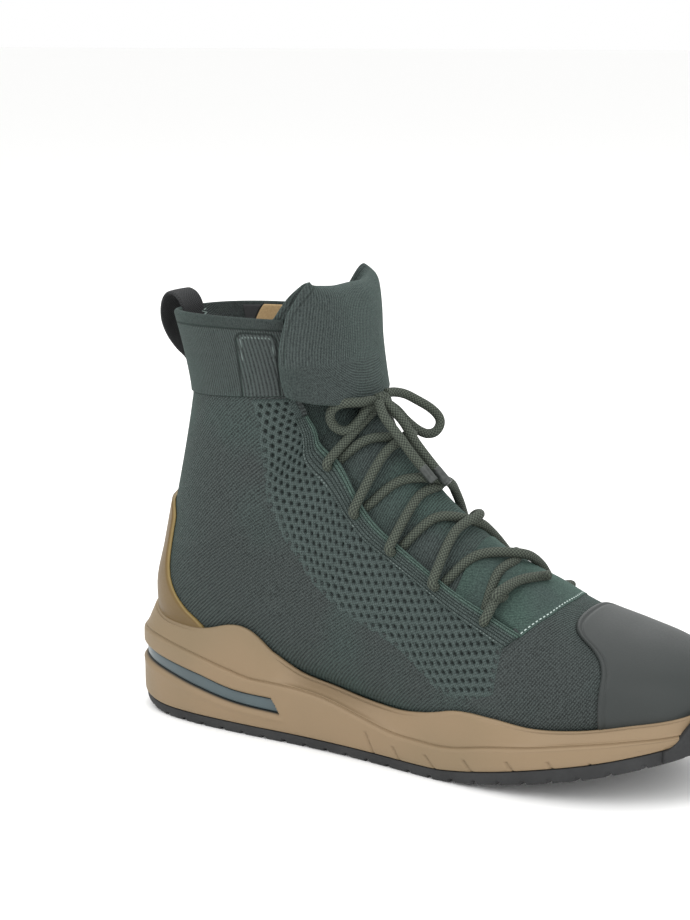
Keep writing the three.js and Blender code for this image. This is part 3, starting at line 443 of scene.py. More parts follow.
class Link:  # a node's output in a material, on which sums are written as plain expressions
    def __init__(self, tree, socket=None):
        self.tree, self.socket = tree, socket

    def node(self, kind, settings=None, inputs=None, output=0):
        made = self.tree.nodes.new("ShaderNode" + kind)
        for name, value in (settings or {}).items():
            setattr(made, name, value)
        for name, value in (inputs or {}).items():
            if isinstance(value, Link):
                self.tree.links.new(value.socket, made.inputs[name])
            else:
                made.inputs[name].default_value = value
        return Link(self.tree, made.outputs[output])

    def maths(self, operation, *values):
        return self.node("Math", {"operation": operation}, dict(enumerate(values)))

    def __add__(self, other):
        return self.maths("ADD", self, other)

    def __radd__(self, other):
        return self.maths("ADD", other, self)

    def __sub__(self, other):
        return self.maths("SUBTRACT", self, other)

    def __rsub__(self, other):
        return self.maths("SUBTRACT", other, self)

    def __mul__(self, other):
        return self.maths("MULTIPLY", self, other)

    def __rmul__(self, other):
        return self.maths("MULTIPLY", other, self)

    def __truediv__(self, other):
        return self.maths("DIVIDE", self, other)

    def sine(self):
        return self.maths("SINE", self)

    def size(self):
        return self.maths("ABSOLUTE", self)

    def rise(self, low, high):  # 0 below low, 1 above high, and smooth between
        return self.node("MapRange", {"interpolation_type": "SMOOTHSTEP"},
                         {"Value": self, "From Min": low, "From Max": high})

    def wave(self, pitch, shift=0.0):  # 0 to 1 and back in each pitch
        return (self * (2 * math.pi / pitch) + shift).sine() * 0.5 + 0.5

    def mixed(self, first, second):  # colours, where this is 0 and where it is 1
        return self.node("Mix", {"data_type": "RGBA", "clamp_factor": True},
                         {"Factor": self, 6: first, 7: second}, 2)

    def mark(self, name):
        return self.node("Attribute", {"attribute_name": name}, output=2)

    def parts(self):
        node = self.node("SeparateXYZ", inputs={0: self}).socket.node
        return [Link(self.tree, node.outputs[k]) for k in range(3)]

    def cloth(self):  # the two lengths over the piece, in millimetres
        return self.node("UVMap", {"uv_map": "cloth"}).parts()[:2]

    def place(self):  # the point on the object, in metres
        return self.node("TexCoord", output=3)

    def noise(self, scale, detail=2):
        return self.node("TexNoise", inputs={"Vector": self.place(), "Scale": scale, "Detail": detail})

    def side(self):  # a place on the shoe's side: along and round the heel, and up, in millimetres
        x, y, z = self.place().parts()
        return (x + y.size() * 0.9) * 1000, z * 1000


# each material's dark and light colour on a screen, then its others
palette = {
    "knit": ("161818", "464c4b", "3f5751", "101413", "8b9a96"),
    # the fourth mesh colour is painted shade at the bottom of the holes
    "meshPanel": ("1c2120", "485351", "5a6663", "0d1010"),
    # the fifth eyestay colour is painted shade in the grooves between the ribs
    "eyestay": ("2f3d39", "63796f", "232928", "5c6865", "0e1211", "8e9a96"),
    "tongue": ("1f2323", "4b5452", "232b29", "4b5d57", "101413"),
    "base": ("22302c", "4b6158", "222b29", "4a5855", "b9c6c1"),
    # the third foam colour is painted shadow on the walls of the window's slot
    "foam": ("78684f", "836f55", "1a1d1c"),
    "rubber": ("1b1c1d", "262728"),
    "window": ("344246", "3f4f53"),
    "cap": ("2a2e2d", "303433"),
    # the third counter colour is a light edge line, partly a light stitched edge, partly a painted highlight
    # on the rounded edge
    "counter": ("5a4621", "644f28", "8b7749"),
    "webbing": ("1e1f20", "434445"),
    "lace": ("252a25", "545b50"),
    "aglet": ("242826", "3a3f3c"),
    "lining": ("1c2221", "37433f"),
    "blackPatch": ("1c1d1e", "28292a"),
    "tanPatch": ("9b8059", "ab9068"),
    "stitch": ("76857f", "98a8a2"),
    "floor": ("fcfcfb",),
}


def linear(code):  # a screen colour as Blender's own linear one
    parts = [int(code[i:i + 2], 16) / 255 for i in (0, 2, 4)]
    return tuple(p / 12.92 if p < 0.04045 else ((p + 0.055) / 1.055) ** 2.4 for p in parts) + (1.0,)


def colours(name):
    return [linear(code) for code in palette[name]]


def makeMaterial(name, shade, fixed):  # shade gives the varying inputs, fixed the plain ones
    material = bpy.data.materials.new(name)
    material.use_nodes = True
    tree = material.node_tree
    shader = tree.nodes["Principled BSDF"]
    for key, value in fixed.items():
        shader.inputs[key].default_value = value
    start = Link(tree)
    for key, value in shade(start).items():
        if key == "Bump":
            height, strength, distance = value
            value = start.node("Bump", inputs={"Height": height, "Strength": strength, "Distance": distance})
            key = "Normal"
        tree.links.new(value.socket, shader.inputs[key])
    return material


knitLook = {"stitch": 1.5, "bead": 1.9, "rib": 1.3, "relief": 0.0005}  # pitches in millimetres


def shadeKnit(link):
    dark, light, tint, dim, pale = colours("knit")
    look = knitLook
    u, v = link.cloth()
    fore, lower = link.mark("fore"), link.mark("lower").rise(-1.5, 1.5)
    hemAt, bandAt, patchAt = link.mark("hemAt"), link.mark("bandAt"), link.mark("patchAt")
    hem, band, patch = hemAt.rise(-0.1, 0.2), bandAt.rise(0, 0.3), 1 - patchAt.rise(-0.4, 0.2)
    ribbed = band * (1 - hem)
    lines = (1 - hemAt.size().rise(0.2, 0.7)) + (1 - bandAt.size().rise(0.2, 0.6)) * 0.8
    seam = lines + (1 - patchAt.size().rise(0.2, 0.7)) * band * (1 - hem)
    dots = (1 - (patchAt + 1.6).size().rise(0.15, 0.45)) * bandAt.rise(18, 20) * u.wave(1.7).rise(0.5, 0.7)
    drift = link.noise(330) - 0.5
    around, up = link.side()
    slant, weft = around * 0.95 - up + drift * 0.9, around + up * 0.8 + drift * 0.9
    twill = slant.wave(look["stitch"] * 1.3) * (weft.wave(look["stitch"] * 1.1) * 0.7 + 0.3)
    slant, weft = around * 0.75 - up + drift, around + up + drift
    rows = slant.wave(look["stitch"] * 1.15) * (weft.wave(look["stitch"]) * 0.8 + 0.2)
    bead = (u + v + drift * 0.4).wave(look["bead"]) * ((u - v).wave(look["bead"]) * 0.7 + 0.3)
    fineRib = (u + drift * 0.3).wave(look["rib"]) * (v.wave(1.0) * 0.4 + 0.6)
    wideRib = (u + drift * 0.3).wave(look["rib"] * 1.5) * (v.wave(1.2) * 0.3 + 0.7)
    rib = fineRib * (1 - patch) + wideRib * 0.9 * patch
    edge = v.wave(1.1) * (u.wave(1.0) * 0.5 + 0.5)
    side = twill * (1 - lower) + rows * lower
    height = side * (1 - fore) + bead * fore
    height = height * (1 - ribbed) + rib * 1.3 * ribbed
    height = height * (1 - hem) + edge * hem
    fleck = link.noise(1300)
    shade = (height * 0.55 + fleck * 0.9).rise(0.2, 1.0)
    base = shade.mixed(dark, light)
    patchy = link.noise(22).rise(0.45, 0.7)
    base = (patchy * 0.35 * shade).mixed(base, tint)
    base = (seam * 0.75).mixed(base, dim)
    base = (dots * 0.45).mixed(base, pale)
    return {"Base Color": base, "Roughness": 0.82 + shade * 0.12,
            "Bump": (height + fleck * 0.5 - seam, 0.9, look["relief"])}


def shadeMeshPanel(link):
    dark, light, pale, deep = colours("meshPanel")
    u, v = link.cloth()
    hole, rim = link.mark("hole"), link.mark("rim")
    drift = link.noise(420) - 0.5
    strand = (u + v + drift).wave(1.5) * 0.5 + (u - v).wave(1.5) * 0.5
    fleck = link.noise(1300)
    shade = (strand * 0.5 + fleck * 0.7).rise(0.2, 0.95)
    base = (rim * 0.3).mixed(shade.mixed(dark, light), pale)
    # the holes are darkened towards black: painted shade in them
    base = (hole.rise(0.1, 0.9) * 0.85).mixed(base, deep)
    return {"Base Color": base, "Roughness": 0.85 + shade * 0.1,
            "Bump": (strand + fleck * 0.5, 0.9, knitLook["relief"])}


def shadeEyestay(link):
    dark, light, outerDark, outerLight, deep, pale = colours("eyestay")
    u, v = link.cloth()
    ridge, groove, stitch = link.mark("ridge"), link.mark("groove"), link.mark("stitch")
    fleck = link.noise(1300)
    weave = (v + u).wave(1.1) * (v - u).wave(1.1)
    shade = (weave * 0.5 + fleck * 0.7).rise(0.2, 0.95)
    base = ridge.mixed(shade.mixed(dark, light), shade.mixed(outerDark, outerLight))
    # the grooves between the ribs are darkened: painted shade
    base = (groove * 0.75).mixed(base, deep)
    thread = stitch * v.wave(1.9).rise(0.5, 0.8) * link.noise(90).rise(0.45, 0.6)
    base = (thread * 0.6).mixed(base, pale)
    return {"Base Color": base, "Roughness": 0.85 + shade * 0.1, "Bump": (weave + fleck * 0.5, 0.8, 0.00035)}


def shadeTongue(link):
    dark, light, feltDark, feltLight, dim = colours("tongue")
    u, v = link.cloth()
    ribbed, leaf, edgeAt = link.mark("ribbed"), link.mark("leaf"), link.mark("edgeAt")
    seam = (1 - (edgeAt - 3.6).size().rise(0.2, 0.6)) * ribbed
    fleck = link.noise(1300)
    drift = link.noise(120, 3) - 0.5
    rib = (u + drift * 1.2).wave(1.35) * (v.wave(1.3) * 0.4 + 0.6)
    weave = (v + drift).wave(1.3) * (u.wave(1.2) * 0.5 + 0.5)
    height = weave * (1 - ribbed) + rib * ribbed
    shade = (height * 0.35 + fleck * 0.9).rise(0.2, 1.0)
    felt = leaf * link.noise(22).rise(0.3, 0.7)
    base = felt.mixed(shade.mixed(dark, light), shade.mixed(feltDark, feltLight))
    base = (seam * 0.35).mixed(base, dim)
    return {"Base Color": base, "Roughness": 0.86 + shade * 0.1,
            "Bump": (height + fleck * 0.6 - seam, 0.9, 0.0004)}


def shadeBase(link):
    dark, light, greyDark, greyLight, pale = colours("base")
    u, v = link.cloth()
    at = link.mark("stitchAt")
    fleck = link.noise(1300)
    shade = ((u + v).wave(1.2) * 0.25 + fleck * 0.8).rise(0.2, 1.0)
    grey = shade.mixed(greyDark, greyLight)
    base = link.noise(24).rise(0.35, 0.7).mixed(shade.mixed(dark, light), grey)
    dash = (1 - (at - 1.2).size().rise(0.2, 0.4)) * u.wave(2.3).rise(0.35, 0.5)
    base = (dash * 0.85).mixed(base, pale)
    return {"Base Color": base, "Roughness": 0.88 + shade * 0.08, "Bump": (fleck + dash, 0.8, 0.00035)}


def shadeFoam(link):
    dark, light, deep = colours("foam")
    grain = link.noise(900, 3)
    # the slot's walls are painted near-black: painted shadow inside the window's slot
    base = link.mark("slot").rise(0.1, 0.4).mixed(link.noise(14).rise(0.3, 0.7).mixed(dark, light), deep)
    return {"Base Color": base, "Roughness": 0.5 + grain * 0.16, "Bump": (grain, 0.25, 0.00012)}


def shadeWindow(link):
    haze = link.noise(35)
    return {"Base Color": haze.rise(0.3, 0.8).mixed(*colours("window")), "Roughness": 0.3 + haze * 0.2,
            "Bump": (link.noise(300), 0.15, 0.0001)}


def shadeCounter(link):
    dark, light, edge = colours("counter")
    grain = link.noise(900, 3)
    # a lighter line along the edges: partly a light stitched edge, partly a painted highlight on the rounded
    # edge
    base = link.mark("edge").mixed(link.noise(30).rise(0.3, 0.8).mixed(dark, light), edge)
    return {"Base Color": base, "Roughness": 0.42 + grain * 0.2, "Bump": (grain, 0.3, 0.00012)}


def shadeWebbing(link):
    u, v = link.cloth()
    weave = (u.wave(1.6) * v.wave(1.3)) + (u.wave(1.6, math.pi) * v.wave(1.3, math.pi))
    fleck = link.noise(1400)
    base = (weave * 0.6 + fleck * 0.5).rise(0.2, 1.0).mixed(*colours("webbing"))
    return {"Base Color": base, "Roughness": 0.8 + fleck * 0.15, "Bump": (weave, 0.9, 0.0003)}


def shadeLace(link):
    around, along = link.cloth()
    braid = (around * 8 + along / 1.7).wave(1.0) * 0.6 + (around * 8 - along / 1.7).wave(1.0) * 0.6
    fleck = link.noise(1600)
    base = (braid * 0.6 + fleck * 0.5).rise(0.3, 1.0).mixed(*colours("lace"))
    return {"Base Color": base, "Roughness": 0.7 + fleck * 0.2, "Bump": (braid, 0.9, 0.0003)}


def shadeLining(link):
    u, v = link.cloth()
    weave = u.wave(1.4) * (v.wave(1.2) * 0.4 + 0.6)
    fleck = link.noise(1300)
    base = (weave * 0.5 + fleck * 0.5).rise(0.2, 0.9).mixed(*colours("lining"))
    return {"Base Color": base, "Roughness": 0.88 + fleck * 0.08, "Bump": (weave, 0.8, 0.0003)}


def shadeGrain(name, grain, rough, spread, bump=None, haze=None, low=0.2):  # plain, with a fine grain
    def shade(link):
        fine = link.noise(*grain)
        cloud = link.noise(haze) if haze else fine
        base = cloud.rise(low, 0.8).mixed(*colours(name))
        inputs = {"Base Color": base, "Roughness": rough + fine * spread}
        return inputs | {"Bump": (fine, *bump)} if bump else inputs
    return shade


def shadeFloor(link):
    return {"Roughness": 0.9 + link.noise(3) * 0.05}


fabric = {"Sheen Weight": 0.08, "Sheen Roughness": 0.5, "Sheen Tint": (0.4, 0.8, 0.65, 1),
          "Specular IOR Level": 0.25}
patchGrain = (1200,), 0.7, 0.15, (0.4, 0.0002)
materials = {
    "knit": makeMaterial("knit", shadeKnit, fabric),
    "meshPanel": makeMaterial("mesh_panel", shadeMeshPanel, fabric),
    "eyestay": makeMaterial("ribbed_edge", shadeEyestay, fabric),
    "tongue": makeMaterial("tongue_knit", shadeTongue, fabric),
    "base": makeMaterial("tongue_felt", shadeBase, fabric),
    "foam": makeMaterial("foam", shadeFoam, {"Specular IOR Level": 0.4}),
    "rubber": makeMaterial("rubber", shadeGrain("rubber", (700, 3), 0.6, 0.2, (0.35, 0.00015), 60, 0.3), {}),
    "window": makeMaterial("window", shadeWindow, {"Coat Weight": 0.3, "Coat Roughness": 0.2}),
    "cap": makeMaterial("cap_rubber", shadeGrain("cap", (1300,), 0.44, 0.16, (0.3, 0.0001), 18, 0.25),
                        {"Specular IOR Level": 0.35}),
    "counter": makeMaterial("counter_shell", shadeCounter,
                            {"Coat Weight": 0.06, "Coat Roughness": 0.4, "Specular IOR Level": 0.35}),
    "webbing": makeMaterial("webbing", shadeWebbing, {"Specular IOR Level": 0.2}),
    "lace": makeMaterial("lace", shadeLace, {"Specular IOR Level": 0.3}),
    "aglet": makeMaterial("aglet", shadeGrain("aglet", (500,), 0.3, 0.15, (0.2, 0.0001)), {}),
    "lining": makeMaterial("lining", shadeLining, {"Specular IOR Level": 0.2}),
    "blackPatch": makeMaterial("black_patch", shadeGrain("blackPatch", *patchGrain, low=0.25), {}),
    "tanPatch": makeMaterial("tan_patch", shadeGrain("tanPatch", *patchGrain, low=0.25), {}),
    "stitch": makeMaterial("stitch_thread", shadeGrain("stitch", (2500,), 0.7, 0.15), {}),
    "floor": makeMaterial("floor", shadeFloor, {"Base Color": colours("floor")[0]}),
}
print("materials made:", len(materials))


def gridPiece(name, front, back, material, node=None, marks=None, lengths=None):
    points, quads = twoFaces(front, back)
    u, v = lengths or gridLengths(front)
    cloth = np.tile(np.stack([u, v], -1).reshape(-1, 2), (2, 1))
    both = {key: np.tile(np.asarray(values).ravel(), 2) for key, values in (marks or {}).items()}
    nodes = (node,) if node else ()
    return makePiece(name, points, quads, materials[material], nodes, cloth, both)


lace = {
    "diameter": 4.6,
    "knotReach": (12.6, -37.8),  # forwards and up from the front of the collar
    "low": -2.1,  # how high the strands lie over the last at a crossing, under and over the other one
    "high": 1.8,
    "overEdge": 3.5,  # and at the throat's edge
    "underEdge": -2.9,
    "outside": 2.4,  # at an eyelet, over and under it
    "inside": -1.5,
    "hidden": -5.2,
    "bow": 0.2,  # rows that the strands bow forwards at the ridge
    "innerShift": -0.35,  # rows from the outer side's eyelets to the inner side's
}

# row of the last and turn on the outer side, from the lowest
eyeletTable = np.array([[6.52, 0.357], [7.62, 0.358], [8.62, 0.357], [9.55, 0.357], [10.7, 0.376]])

# row, throat edge and rib line, as turns on the outer side
throatTable = np.array([
    [5.6, 0.366, 0.331], [6.6, 0.37, 0.342], [7.6, 0.368, 0.346], [8.5, 0.368, 0.347], [9.5, 0.369, 0.346],
    [10.7, 0.388, 0.36], [13.4, 0.39, 0.368], [16, 0.37, 0.348], [18, 0.35, 0.328], [20, 0.335, 0.31],
])


def throatEdge(t):
    return byShare(throatTable, t)[..., 0]


def ribLine(t):
    return byShare(throatTable, t)[..., 1]


def knotCentre():
    collar = lastPoint(collarRow, 0.5)
    return collar + [lace["knotReach"][0], 0, lace["knotReach"][1]]


def innerRow(row, turn):  # the inner side's eyelets sit further forward
    return row + lace["innerShift"] * smooth(turn, 0.4, 0.56)


def strandRow(row, turn):  # the strands bow forwards over the ridge
    return innerRow(row, turn) - lace["bow"] * np.exp(-((turn - 0.5) / 0.055) ** 2)


def laceRun(side):  # one half of the lace, from the middle of the lowest bar to the knot
    spots = [(6.4, 0.5, 2.1), (6.42, 0.44, 1.9), (6.47, 0.395, 2.4)]
    over, under, outside, inside, hidden = (
        lace[key] for key in ("overEdge", "underEdge", "outside", "inside", "hidden"))
    here = side
    for i, (row, turn) in enumerate(eyeletTable):
        edge = float(throatEdge(row))
        if i == 0:
            around = [(row - 0.03, edge - 0.004, over), (row, turn, outside), (row + 0.01, turn, inside),
                      (row + 0.06, turn + 0.004, hidden), (row + 0.12, edge + 0.008, under)]
        else:
            around = [(row - 0.1, edge + 0.008, under), (row - 0.04, turn + 0.004, hidden),
                      (row, turn, inside), (row + 0.01, turn, outside), (row + 0.06, edge - 0.004, over)]
        spots += [(r, onSide(t, here), above) for r, t, above in around]
        if i == len(eyeletTable) - 1:
            break
        onTop = (i % 2 == 1) == (here > 0)
        gap = eyeletTable[i + 1][0] - row
        start = 0.4 if i else 0.405
        middle = lace["high"] if onTop else lace["low"]
        for share, level in ((0.27, mix(lace["low"], middle, 0.55)), (0.5, middle), (0.73, lace["low"])):
            turnHere = mix(start, 1 - start, (share - 0.15) / 0.7)
            spots.append((row + gap * share, onSide(turnHere, here), level))
        here = -here
    points = [formPoint(strandRow(r, t), t, above) for r, t, above in spots]
    knot = knotCentre()
    sign = -here
    points += [mix(points[-1], knot + [-2, sign * 4, -2], 0.5) + [0.5, 0, 0.5], knot + [-1.5, sign * 3, -1.5]]
    return curveThrough(points, 560)


def makeTubePiece(name, path, radius, material, nodes, sides=16):
    grid, quads, lengths = tube(path, radius, sides)
    return makePiece(name, grid, quads, materials[material], nodes, lengths, weld=1e-7)


def makeLaces():
    radius = lace["diameter"] / 2
    first, second = laceRun(1), laceRun(-1)
    whole = np.concatenate([first[::-1], second[1:]])
    makeTubePiece("lace_through_eyelets", whole, radius, "lace", ["lace_crossings"])


loops = {  # lengths from the knot's centre
    "lace_loop_near": [
        (-1.4, -3.4, 1.4), (-2, -7.6, 2.6), (-3.7, -13.3, 2.7), (-7.1, -18.7, 3), (-10.9, -22.2, 2.4),
        (-14.2, -23.7, -0.7), (-15.1, -23, -5.2), (-13.2, -21.2, -9.1), (-9.7, -18.9, -10.6),
        (-6.9, -16.3, -9), (-4.6, -12.7, -5), (-3.3, -9.2, -1.4), (-1.2, -4.3, -1),
    ],
    "lace_loop_far": [
        (0, 3.6, 4.4), (1.8, 8.1, 4.4), (5, 13.1, 2.9), (8.9, 18, -0.5), (13.7, 22.1, -4.5),
        (17.2, 24.2, -8.7), (18.3, 23.8, -12.4), (17.2, 21.2, -15.7), (14.2, 18.1, -16.4),
        (10.8, 14.4, -13.9), (6.7, 10.9, -9.2), (3.9, 7.1, -4), (1.1, 3.3, -0.4),
    ],
}

# row, turn and height over the last
laceEnds = {
    "lace_end_near": [(10.72, 0.475, 8.5), (10.29, 0.462, 7.6), (9.87, 0.458, 7.2), (9.5, 0.459, 6.6),
                      (9.16, 0.463, 5.6), (8.73, 0.465, 4.6)],
    "lace_end_far": [(10.66, 0.487, 7.5), (10.33, 0.484, 6.6), (9.95, 0.484, 5.6), (9.5, 0.484, 4.6),
                     (8.95, 0.488, 4.4), (8.52, 0.486, 4.2)],
}


knotShape = {"forward": 2.6, "up": 2.9, "across": 3.6, "shift": 0.4, "turns": 1.7, "steps": 60}
agletShape = {"points": 22, "over": 0.12, "past": 0.2}  # over the last points of an end's path


def makeBow():
    radius = lace["diameter"] / 2
    knot, shift, steps = knotCentre(), knotShape["shift"], knotShape["steps"]
    wraps = []
    for k in range(steps + 1):
        angle = k / steps * knotShape["turns"] * 2 * math.pi
        across = mix(-knotShape["across"], knotShape["across"], k / steps)
        wraps.append(knot + [knotShape["forward"] * math.cos(angle) - shift, across,
                             knotShape["up"] * math.sin(angle) + shift])
    body = makeTubePiece("lace_knot_wraps", np.array(wraps), radius, "lace", ["lace_knot"])
    for name, offsets in loops.items():
        path = curveThrough(knot + np.array(offsets), 120)
        piece = makeTubePiece(name + "_cord", path, radius, "lace", [name])
        print(name, "is", round(float(np.linalg.norm(np.diff(path, axis=0), axis=1).sum()), 1), "mm")
    for name, spots in laceEnds.items():
        path = curveThrough([formPoint(r, t, above) for r, t, above in spots], 110)
        piece = makeTubePiece(name + "_cord", path, radius, "lace", [name])
        print(name, "is", round(float(np.linalg.norm(np.diff(path, axis=0), axis=1).sum()), 1), "mm")
        tip = path[-agletShape["points"]:]
        taper = np.full(len(tip), radius + agletShape["over"])
        taper[:2] = radius - 0.1, radius + 0.08
        tip = tip + unit(tip[-1] - tip[-2]) * agletShape["past"]
        aglet = makeTubePiece(name + "_aglet", tip, taper, "aglet", [])


makeLaces()
makeBow()
print("laces made")


upperShape = {
    "rows": 122, "columns": 58, "frontColumns": 40, "recess": 1.0, "throatRow": 5.95, "hemRow": 19.71,
    "stepEnd": 17.94, "rowLength": 16.5, "roundLength": 230.0, "collarLift": 3.0,
    "patchTurn": 0.288, "patchWidth": 15.5, "patchRow": 18.28, "patchHeight": 44.0, "patchRound": 3.0,
}


def collarPoint(t, turn, offset):  # the knit's own stretch above the band's seam, most on the outer side
    points = formPoint(t, turn, offset)
    outer = 0.1 + 0.9 * np.clip(np.sin(2 * np.pi * turn), 0, 1)
    points[..., 2] += upperShape["collarLift"] * outer * smooth(t, last["bandRow"], collarRow)
    return points


# the openwork zone's outer boundary: row, turn on the outer side
panelTable = np.array([
    [5.9, 0.262], [6.4, 0.247], [7.0, 0.244], [7.9, 0.266], [8.95, 0.268], [9.62, 0.275], [10.14, 0.286],
    [11.1, 0.304], [12.38, 0.312], [14.14, 0.302], [16.0, 0.280], [17.0, 0.268], [17.8, 0.262],
])


def panelEdge(t):
    return byShare(panelTable, t)[..., 0]


def upperRows():
    throat, seam, stepEnd = upperShape["throatRow"], last["bandRow"], upperShape["stepEnd"]
    return np.unique(np.concatenate([
        np.linspace(0, throat, 60), np.linspace(throat, seam, upperShape["rows"]),
        np.linspace(seam, stepEnd, 7), np.linspace(stepEnd, collarRow, 40),
    ]))


def panelMask(t, turn):
    around = np.minimum(turn % 1, 1 - turn % 1)
    inside = smooth(around, panelEdge(t) + 0.004, panelEdge(t) + 0.012)
    inside = inside * (1 - smooth(around, ribLine(t) + 0.004, ribLine(t) + 0.012))
    return inside * smooth(t, 6.0, 6.25) * (1 - smooth(t, 17.5, 17.75))


def upperMarks(t, turn):  # how far above or outside each line of the knit a place is, in millimetres
    t, turn = np.broadcast_arrays(t, turn)
    around = np.minimum(turn % 1, 1 - turn % 1)
    shape = upperShape
    reach = np.stack([(around - shape["patchTurn"]) * shape["roundLength"],
                      (t - shape["patchRow"]) * shape["rowLength"]])
    half = np.array([shape["patchWidth"], shape["patchHeight"]])[:, None, None] / 2
    over = np.abs(reach) - half + shape["patchRound"]
    patch = np.linalg.norm(np.maximum(over, 0), axis=0) + np.minimum(over.max(0), 0) - shape["patchRound"]
    return {"fore": 1 - smooth(t, 5.2, 7.4), "hemAt": (t - shape["hemRow"]) * shape["rowLength"],
            "bandAt": (t - last["bandRow"] - 0.05) * shape["rowLength"], "patchAt": patch,
            "lower": (15.5 - 11.5 * around - t) * 11}


def makeUpper():
    rows = upperRows()
    throat = upperShape["throatRow"]
    split = int(np.argmin(np.abs(rows - throat)))
    rows[split] = throat
    edge = throatEdge(np.maximum(rows, throat))
    shares = edgeShares(upperShape["columns"], 0.02)
    w = np.concatenate([-shares[::-1], shares[1:]])
    t, turn = rows[:, None], w[None] * edge[:, None]
    points, quads, cloth, count = [], [], [], 0
    marks = {"fore": [], "hemAt": [], "bandAt": [], "patchAt": [], "lower": []}

    def face(grid, lengths, flip, zone):
        nonlocal count
        points.append(grid.reshape(-1, 3))
        cloth.append(np.stack(lengths, -1).reshape(-1, 2))
        faces = gridQuads(*grid.shape[:2], start=count)
        quads.append(faces[:, ::-1] if flip else faces)
        for key in marks:
            marks[key].append(np.broadcast_to(zone[key], grid.shape[:2]).ravel())
        count += grid.shape[0] * grid.shape[1]

    outer = collarPoint(t, turn, -upperShape["recess"] * panelMask(t, turn))
    inner = collarPoint(t, turn, -last["wall"] + 0 * turn)
    middle, half = (outer[-1] + inner[-1]) / 2, (outer[-1] - inner[-1]) / 2
    rise = np.linalg.norm(half, axis=1, keepdims=True) * [0, 0, 1]
    roll = np.linspace(0, np.pi / 2, 5)[1:]
    outer = np.concatenate([outer, [middle + half * math.cos(a) + rise * math.sin(a) for a in roll]])
    inner = np.concatenate([inner, [middle - half * math.cos(a) + rise * math.sin(a) for a in roll]])
    grown = np.concatenate([rows, np.full(4, collarRow)])[:, None]
    zone = upperMarks(grown, np.concatenate([turn, np.repeat(turn[-1:], 4, 0)]))
    u, v = gridLengths(outer)
    u = u - u[:, w.shape[0] // 2][:, None]
    face(outer, (u, v), False, zone)
    plain = {"fore": 0.0, "hemAt": 9.0, "bandAt": -9.0, "patchAt": 9.0, "lower": -9.0}
    face(inner, (u, v), True, {key: values + 0 * zone[key] for key, values in plain.items()})
    size = outer.shape[0] * outer.shape[1]
    for column in (0, outer.shape[1] - 1):  # the throat's edges
        at = np.arange(split, outer.shape[0]) * outer.shape[1] + column
        quads.append(np.stack([at[:-1], at[1:], at[1:] + size, at[:-1] + size], 1))
    columns = upperShape["frontColumns"]
    t, turn = rows[:split + 1, None], mix(edge[0], 1 - edge[0], np.linspace(0, 1, columns))[None]
    start = count
    lengths = gridLengths(formPoint(t, turn, 0 * turn))
    lengths = (lengths[0] + u[:split + 1, -1:], lengths[1])
    zone = upperMarks(t, turn)
    face(formPoint(t, turn, 0 * turn), lengths, False, zone)
    face(formPoint(t, turn, -last["wall"] + 0 * turn), lengths, True,
         {key: values + 0 * zone[key] for key, values in plain.items()})
    at = start + split * columns + np.arange(columns)
    size = (split + 1) * columns
    quads.append(np.stack([at[:-1], at[1:], at[1:] + size, at[:-1] + size], 1))
    marks = {key: np.concatenate(values) for key, values in marks.items()}
    makePiece("knit_upper", np.concatenate(points), np.concatenate(quads), materials["knit"], ["upper"],
              np.concatenate(cloth), marks, weld=2e-5)


panelShape = {
    "rows": 284, "columns": 62, "start": 5.98, "end": 17.78, "pitch": 4.3, "squash": 0.8, "hole": 1.0,
    "soft": 0.8, "depth": 1.1, "border": 2.2, "sunk": 0.7, "lift": 0.12, "back": 0.95,
}


def makePanel(name, side):
    shares = edgeShares(panelShape["columns"], 0.03)
    rows = mix(panelShape["start"], panelShape["end"], edgeShares(panelShape["rows"], 0.006))
    t = rows[:, None]
    turn = onSide(mix(panelEdge(t), ribLine(t) + 0.012, shares[None]), side)
    base = formPoint(t, turn, 0 * turn)
    u, v = gridLengths(base)
    fromBorder = np.minimum(u, np.minimum(v, v[-1:] - v))
    u = u[:, -1:] - u
    v = np.broadcast_to(v.mean(1, keepdims=True), u.shape)
    pitch, squash, lift = (panelShape[key] for key in ("pitch", "squash", "lift"))
    a, b = u / pitch, v / (pitch * squash)
    row = np.round(b)
    off = np.where(row % 2 == 0, 0.0, 0.5)
    du, dv = (a - off - np.round(a - off)) * pitch, (b - row) * pitch * squash
    apart = np.sqrt(du ** 2 + dv ** 2)
    inside = smooth(fromBorder, panelShape["border"] * 0.5, panelShape["border"] * 1.3) * smooth(u, 2.2, 4)
    radius, soft = panelShape["hole"], panelShape["soft"]
    # hole sets the dimples' depth and where the painted shade in them goes
    hole = (1 - smooth(apart, radius - soft, radius + soft)) * inside
    rim = np.exp(-((apart - radius - soft) / 0.5) ** 2) * inside
    sunk = panelShape["sunk"] * (1 - smooth(fromBorder, 0, panelShape["border"]))
    front = formPoint(t, turn, lift - sunk - panelShape["depth"] * hole + lift * rim)
    back = formPoint(t, turn, -panelShape["back"] + 0 * turn)
    gridPiece(name, front, back, "meshPanel", marks={"hole": hole, "rim": rim}, lengths=(u, v))


# rows of the last and turns at the collar's edge, leaning by a share of a turn for each row below it
collarPatches = {
    "collar_patch_black": {"rows": (17.9, 19.93), "turns": (0.827, 0.87), "lean": (0.05, 0.0),
                           "finish": "blackPatch"},
    "collar_patch_tan": {"rows": (17.9, 19.96), "turns": (0.735, 0.825), "lean": (0.0, 0.05),
                         "finish": "tanPatch"},
}
patchThickness = 0.7


